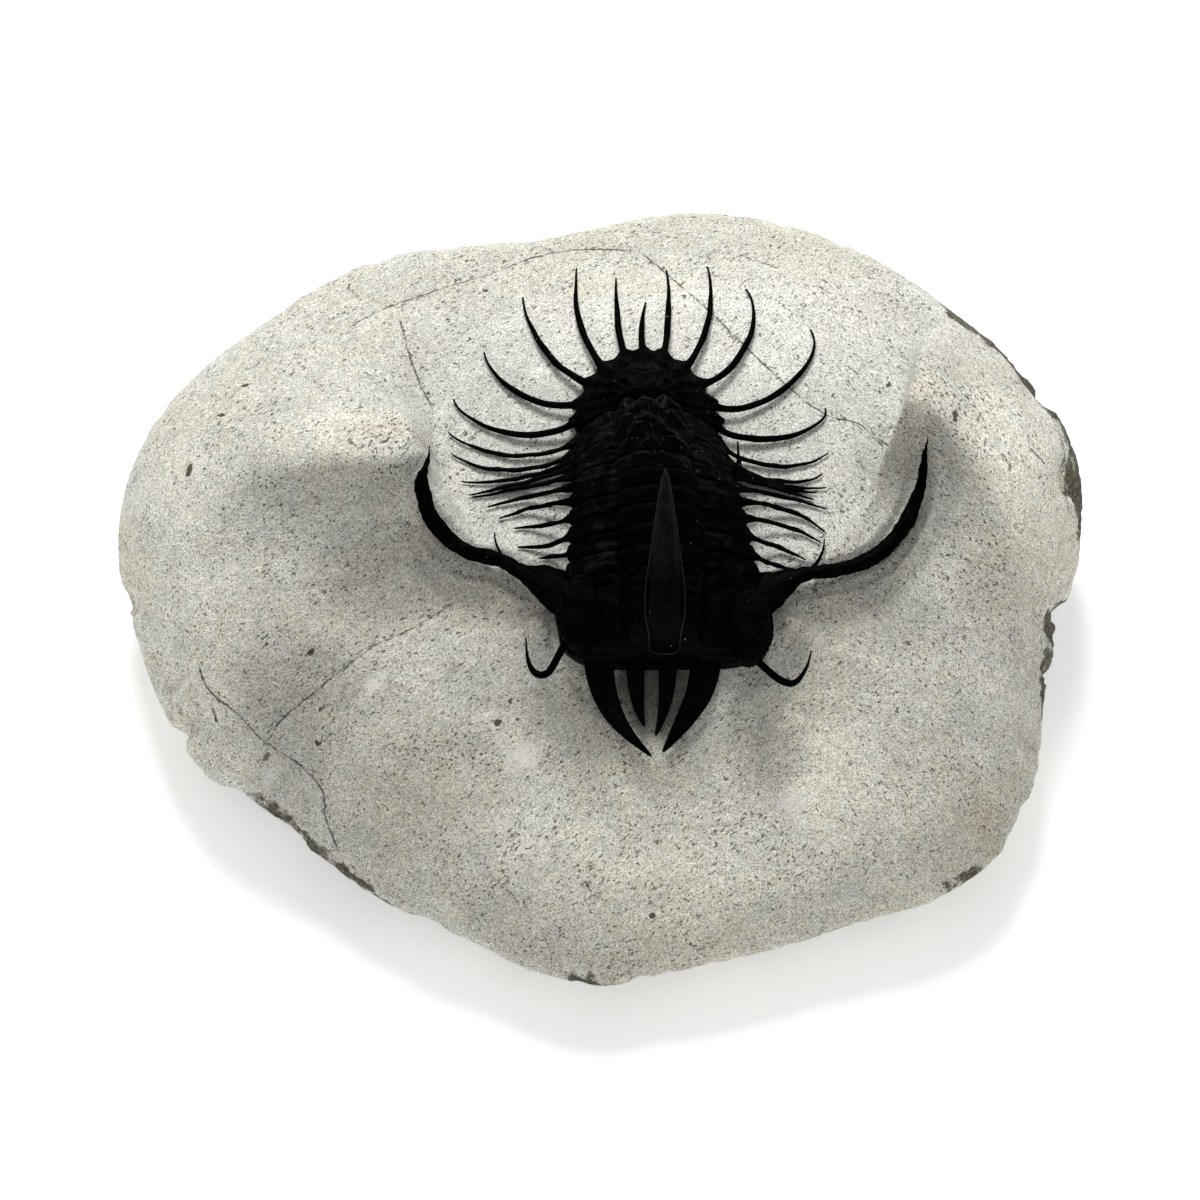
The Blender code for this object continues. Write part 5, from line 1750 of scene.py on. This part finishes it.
    def build_spines(self, finish: Material, spines: SpineTree) -> list[Piece]:
        """Make the long cheek spines, the spinelets on them and the thin hooks in front."""
        cheeks, thin = [], []
        for side in Side:
            path = wobble(self.cheek_path(side), 0.14, 5.0, 40.0 + side.value)
            shares = np.linspace(0.0, 1.0, len(path))
            full = 0.86 + 0.22 * hump(shares, 0.6, 0.3)
            high = self.cheek_radius * full * (1.0 - 0.97 * ease(0.68, 1.02, shares) ** 1.35)
            high = high * (1.0 + 0.14 * rough(path, 1.7, 3, 9.0))
            wide = high + self.cheek_flare * (1.0 - ease(0.0, 0.26, shares)) ** 1.3
            cheek = sweep(path, wide, high, 28, 0.95)
            for axis in range(3):
                cheek.points[:, axis] += (0.14 * rough(cheek.points, 2.2, 2, 95.0 + axis)
                                          + 0.15 * rough(cheek.points, 0.9, 3, 91.0 + axis))
            cheeks.append(cheek)
            place, plan = self.spinelets[0 if side is Side.RIGHT else 1]
            reach = np.linspace(0.0, 1.0, 20)
            branch = plan.course(self.stone, path[place], side, reach, 0.9)
            thin.append((branch, mix(0.5, 0.1, reach ** 0.8)))
            hook = self.hook_right if side is Side.RIGHT else self.hook_left
            middle = self.body.midline_head
            path = smooth_curve([(middle + side.value * out, y, z) for out, y, z in hook], 40)
            radius = mix(self.hook_radius, 0.12, ease(0.5, 1.0, np.linspace(0.0, 1.0, 41)))
            thin.append((wobble(path, 0.1, 3.0, 50.0), radius))
        cheek = put("cheek_spines", Shape.joined(cheeks).mesh("cheeks"), finish, "cephalon")
        mesh = spines.sweep("hooked_spines", thin, 12, 0.25, 6.0, finish)
        return [cheek, put("hooked_spines", mesh, finish, "cephalon")]

    def build(self, finish: Material, painted_highlight: Material, dull: Material,
              spines: SpineTree, lenses: LensTree) -> list[Piece]:
        """Make the whole head: the horn's keel glossier and painted lighter as a highlight, the
        eyes and cheek spines duller.
        """
        u = np.linspace(-1.0, 1.0, self.columns + 1)
        u = 0.3 * np.sin(0.5 * math.pi * u) + 0.7 * u
        v = np.linspace(0.0, 1.0, self.rows + 1)
        v = 0.5 * np.sin(0.5 * math.pi * v) + 0.5 * v
        v, u = np.meshgrid(v, u, indexing="ij")
        top = self.surface(u, v)
        top[..., 2] += self.uneven(top)
        bottom = top.copy()
        bottom[..., 2] = self.stone.ground(top[..., 0], top[..., 1]) + 0.1
        shield = put("head_shield", Shape.slab(top, bottom).mesh("head"), finish, "cephalon")
        return [shield, *self.build_eyes(dull, lenses), *self.build_horn(finish, painted_highlight, spines),
                self.build_fork(finish), *self.build_spines(dull, spines)]


@dataclass(frozen=True)
class AirAbradedLimestone:
    """Devonian limestone, blasted with powder: a matt, sandy grey-beige with dark specks.

    The eye sees a fine salt-and-pepper grain, soft clouds of warmer and cooler grey, hair
    cracks with a brown filling, and a dark crust where the old outside is left.
    """

    grey: str = "#C5C4BC"
    warm: str = "#C8C4B6"
    dug: str = "#CBCAC3"
    speck: str = "#5A564C"
    seam: str = "#3C392F"
    chalk: str = "#E9E7E0"
    rust: str = "#C4AF8E"
    crust: str = "#3B3832"
    flake: str = "#918B7D"
    grain: float = 0.26
    sand: float = 0.75
    cloud: float = 4.5
    patch: float = 19.0
    speck_size: float = 0.40
    strokes: tuple[float, float] = (-50.0, 42.0)
    stretch: float = 2.2
    turning_x: float = 33.0
    grain_contrast: tuple[float, float] = (0.40, 1.60)
    sand_contrast: tuple[float, float] = (0.80, 1.20)
    cloud_contrast: tuple[float, float] = (0.91, 1.09)
    gloss: float = 0.2

    def material(self) -> Material:
        """Build the node tree."""
        nodes = Surface("limestone_air_abraded")
        lumps, ramp, maths = nodes.lumps, nodes.ramp, nodes.maths
        blend, mask, wavering = nodes.blend, nodes.mask, nodes.wavering

        across = nodes.add("ShaderNodeSeparateXYZ", {0: nodes.place})
        side = wavering(across.outputs[0], 5.0, 3.0, 0.09)
        side = ramp(maths("SUBTRACT", side, self.turning_x * MM), 0.0, 0.4 * MM, 0.0, 1.0)
        leans = [nodes.add("ShaderNodeMapping",
                           {"Vector": nodes.place, "Rotation": (0.0, 0.0, math.radians(turn)),
                            "Scale": (1.0, self.stretch, 1.0)}, vector_type="TEXTURE")
                 for turn in self.strokes]
        turned = nodes.add("ShaderNodeMix", {0: side, 4: leans[0], 5: leans[1]}, data_type="VECTOR")
        turned = turned.outputs[1]
        grain = lumps(self.grain, 1.5, 0.5)
        sand = lumps(self.sand, 3.0, 0.6, turned)
        cloud = lumps(self.cloud, 4.0)
        patch = lumps(self.patch, 3.0)
        warmth = maths("ADD", maths("MULTIPLY", patch, 0.6),
                       maths("MULTIPLY", lumps(2.6, 2.0), 0.4))

        colour = blend(ramp(warmth, 0.42, 0.6, 0.0, 1.0), self.grey, self.warm)
        colour = blend(maths("MULTIPLY", mask("dug"), 0.8), colour, self.dug)
        value = maths("MULTIPLY", ramp(grain, 0.22, 0.78, *self.grain_contrast),
                      ramp(sand, 0.25, 0.75, *self.sand_contrast))
        value = maths("MULTIPLY", value, ramp(cloud, 0.25, 0.75, *self.cloud_contrast))
        # The pale mark scales the colour with painted light and painted shade.
        value = maths("MULTIPLY", value, maths("ADD", mask("pale"), 1.0))
        bright = nodes.add("ShaderNodeCombineColor", {0: value, 1: value, 2: value})
        colour = blend(1.0, colour, bright, "MULTIPLY")

        density = maths("ADD", ramp(lumps(6.0, 2.0), 0.4, 0.65, -0.012, 0.03),
                        maths("MULTIPLY", mask("pitted"), 0.045))
        beside = ramp(maths("ABSOLUTE", mask("crack"), 0.0), 0.1, 1.1, 0.06, 0.0)
        density = maths("ADD", density, maths("MULTIPLY", beside, mask("crack_here")))
        fine = maths("ADD", lumps(self.speck_size, 2.0, 0.6, turned), density)
        coarse = maths("ADD", lumps(1.1, 3.0, 0.7, turned), density)
        specks = maths("MAXIMUM", ramp(fine, 0.63, 0.66, 0.0, 0.8),
                       ramp(coarse, 0.69, 0.715, 0.0, 0.9))
        blots = ramp(wavering(mask("dark_mark"), 1.0, 3.0, 1.6), 0.25, 0.4, 0.0, 0.95)
        specks = maths("MAXIMUM", specks, blots)
        colour = blend(specks, colour, self.speck, "MULTIPLY")

        pale = ramp(wavering(mask("pale_mark"), 1.5, 3.0, 1.0), 0.0, 0.7, 0.0, 0.6)
        colour = blend(pale, colour, self.chalk)
        stain = maths("MULTIPLY", mask("stain"), ramp(cloud, 0.3, 0.6, 0.1, 0.9))
        colour = blend(ramp(stain, 0.0, 0.6, 0.0, 0.3), colour, self.rust, "MULTIPLY")
        crust = ramp(wavering(mask("crust"), 3.4, 5.0, 2.4, 0.7), 0.05, 0.28, 0.0, 0.95)
        skin = blend(ramp(lumps(0.55, 4.0, 0.7), 0.38, 0.64, 0.0, 1.0), self.crust, self.flake)
        colour = blend(crust, colour, skin, "MULTIPLY")

        offset = wavering(mask("crack"), 1.8, 3.0, 0.6)
        broken = ramp(lumps(2.2, 2.0), 0.36, 0.56, 0.3, 1.0)
        line = ramp(maths("ABSOLUTE", offset, 0.0), 0.06, 0.19, 1.0, 0.0, True)
        crack = maths("MULTIPLY", maths("MULTIPLY", line, mask("crack_here")), broken)
        rim = maths("MULTIPLY", ramp(offset, 0.12, 0.5, 1.0, 0.0, True), mask("crack_here"))
        colour = blend(maths("MULTIPLY", rim, 0.12), colour, self.chalk)
        colour = blend(maths("MULTIPLY", crack, 0.85), colour, self.seam)

        height = maths("ADD", maths("MULTIPLY", grain, 0.7), maths("MULTIPLY", sand, 0.8))
        height = maths("SUBTRACT", height, maths("MULTIPLY", specks, 0.5))
        height = maths("SUBTRACT", height, maths("MULTIPLY", crack, 0.9))
        return nodes.finished({"Base Color": colour, "Normal": nodes.bump(0.7, 0.14, height),
                               "Roughness": 0.95, "Specular IOR Level": self.gloss, "IOR": 1.5})


@dataclass(frozen=True)
class BlackCalcite:
    """Fossil shell turned to black calcite, cleaned with powder: glossy, nearly without colour.

    The eye sees black with a soft shine along edges, a little brown in the lighter spots
    and a fine grain left by the tool.
    """

    name: str = "calcite_black_cleaned"
    black: str = "#020202"
    brown: str = "#0B0A08"
    # Colour of real wear on the segments and of the painted sheen on the horn.
    wear_and_sheen: str = "#2C2A26"
    gloss: float = 0.018
    roughness: tuple[float, float] = (0.20, 0.42)
    grain: float = 0.35
    mottle: float = 1.6
    mote: float = 0.45
    dust: str = "#8F8B7E"

    def material(self) -> Material:
        """Build the node tree."""
        nodes = Surface(self.name)
        mottle = nodes.lumps(self.mottle, 4.0, 0.6)
        colour = nodes.blend(nodes.ramp(mottle, 0.45, 0.75, 0.0, 1.0), self.black, self.brown)
        # This mark holds real wear on the segments and a painted sheen high on the horn.
        grazed = nodes.maths("MULTIPLY", nodes.mask("wear_and_sheen"), mottle)
        colour = nodes.blend(grazed, colour, self.wear_and_sheen)
        motes = nodes.ramp(nodes.lumps(self.mote, 0.0, 0.5), 0.865, 0.90, 0.0, 0.8)
        return nodes.finished({
            "Base Color": nodes.blend(motes, colour, self.dust),
            "Roughness": nodes.ramp(mottle, 0.3, 0.7, *self.roughness),
            "Normal": nodes.bump(0.35, 0.08, nodes.lumps(self.grain, 3.0, 0.6)),
            "Specular IOR Level": self.gloss, "IOR": 1.5})


@dataclass
class Studio:
    """Pale floor, soft light from above and behind, and the camera that looks down on the stone."""

    elevation: float = 60.0
    distance: float = 0.7
    aim: tuple[float, float, float] = (0.0, 0.0, 0.022)
    lens: float = 140.0
    floor_half: float = 15.0
    floor_colour: str = "#F7F7F6"
    floor_glow: float = 0.4
    key_place: tuple[float, float, float] = (-0.06, 0.51, 0.63)
    key_size: float = 0.26
    key_power: float = 5.35
    sky: float = 0.50

    def camera(self) -> None:
        """Set the camera at the picture's viewing angle."""
        turn = math.radians(self.elevation)
        back = Vector((0.0, -math.cos(turn), math.sin(turn)))
        data = bpy.data.cameras.new("camera")
        data.lens = self.lens
        data.sensor_width = 36.0
        data.clip_start, data.clip_end = 0.01, 100.0
        camera = bpy.data.objects.new("camera", data)
        bpy.context.scene.collection.objects.link(camera)
        camera.location = Vector(self.aim) + back * self.distance
        camera.rotation_euler = (-back).to_track_quat("-Z", "Y").to_euler()
        bpy.context.scene.camera = camera

    def floor(self) -> None:
        """Lay the plain pale floor."""
        half = self.floor_half
        mesh = bpy.data.meshes.new("floor")
        corner = ((-half, -half), (half, -half), (half, half), (-half, half))
        mesh.from_pydata([(x, y, 0.0) for x, y in corner], [], [(0, 1, 2, 3)])
        mesh.materials.append(Surface("paper_white_floor").finished({
            "Base Color": linear(self.floor_colour), "Roughness": 0.9, "Specular IOR Level": 0.1,
            "Emission Color": WHITE, "Emission Strength": self.floor_glow}))
        floor = bpy.data.objects.new("floor", mesh)
        bpy.context.scene.collection.objects.link(floor)

    def lights(self) -> None:
        """Hang the soft key light and set the even sky."""
        data = bpy.data.lights.new("key", "AREA")
        data.size = self.key_size
        data.energy = self.key_power
        key = bpy.data.objects.new("key", data)
        bpy.context.scene.collection.objects.link(key)
        key.location = self.key_place
        key.rotation_euler = (Vector(self.aim) - key.location).to_track_quat("-Z", "Y").to_euler()
        world = bpy.data.worlds.new("sky")
        world.use_nodes = True
        sky = world.node_tree.nodes["Background"]
        sky.inputs["Color"].default_value = WHITE
        sky.inputs["Strength"].default_value = self.sky
        bpy.context.scene.world = world
        bpy.context.scene.view_settings.view_transform = "Standard"

    def build(self) -> None:
        """Set up the whole studio."""
        self.camera()
        self.floor()
        self.lights()


def main() -> None:
    """Build the stone, the fossil and the studio."""
    logging.basicConfig(level=logging.INFO, format="%(name)s: %(message)s")
    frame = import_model()
    log.info("frame: %d nodes", len(frame["nodes"]))
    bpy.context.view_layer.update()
    limestone = AirAbradedLimestone().material()
    calcite = BlackCalcite().material()
    # The same shell painted grey and glossier as a painted highlight, which the eye sees as a grey
    # line along the horn's keel, and left rough by the powder, which it sees as flat black without
    # a shine.
    painted_highlight_calcite = BlackCalcite("calcite_black_painted_highlight", black="#1C1A15", brown="#2C281F", gloss=0.08,
                            roughness=(0.16, 0.32)).material()
    dull = BlackCalcite("calcite_black_etched", gloss=0.007, roughness=(0.32, 0.55)).material()
    body = BodyForm()
    stone = Nodule(body)
    head = HeadShield(body, stone)
    stone.cheek_paths = [head.cheek_path(side, 40) for side in Side]
    spines, lenses = SpineTree(), LensTree()
    stone.build(limestone)
    head.build(calcite, painted_highlight_calcite, dull, spines, lenses)
    Thorax(body, stone).build(calcite, dull, spines)
    TailShield(body, stone).build(dull, spines)
    Studio().build()


if __name__ == "__main__":
    main()
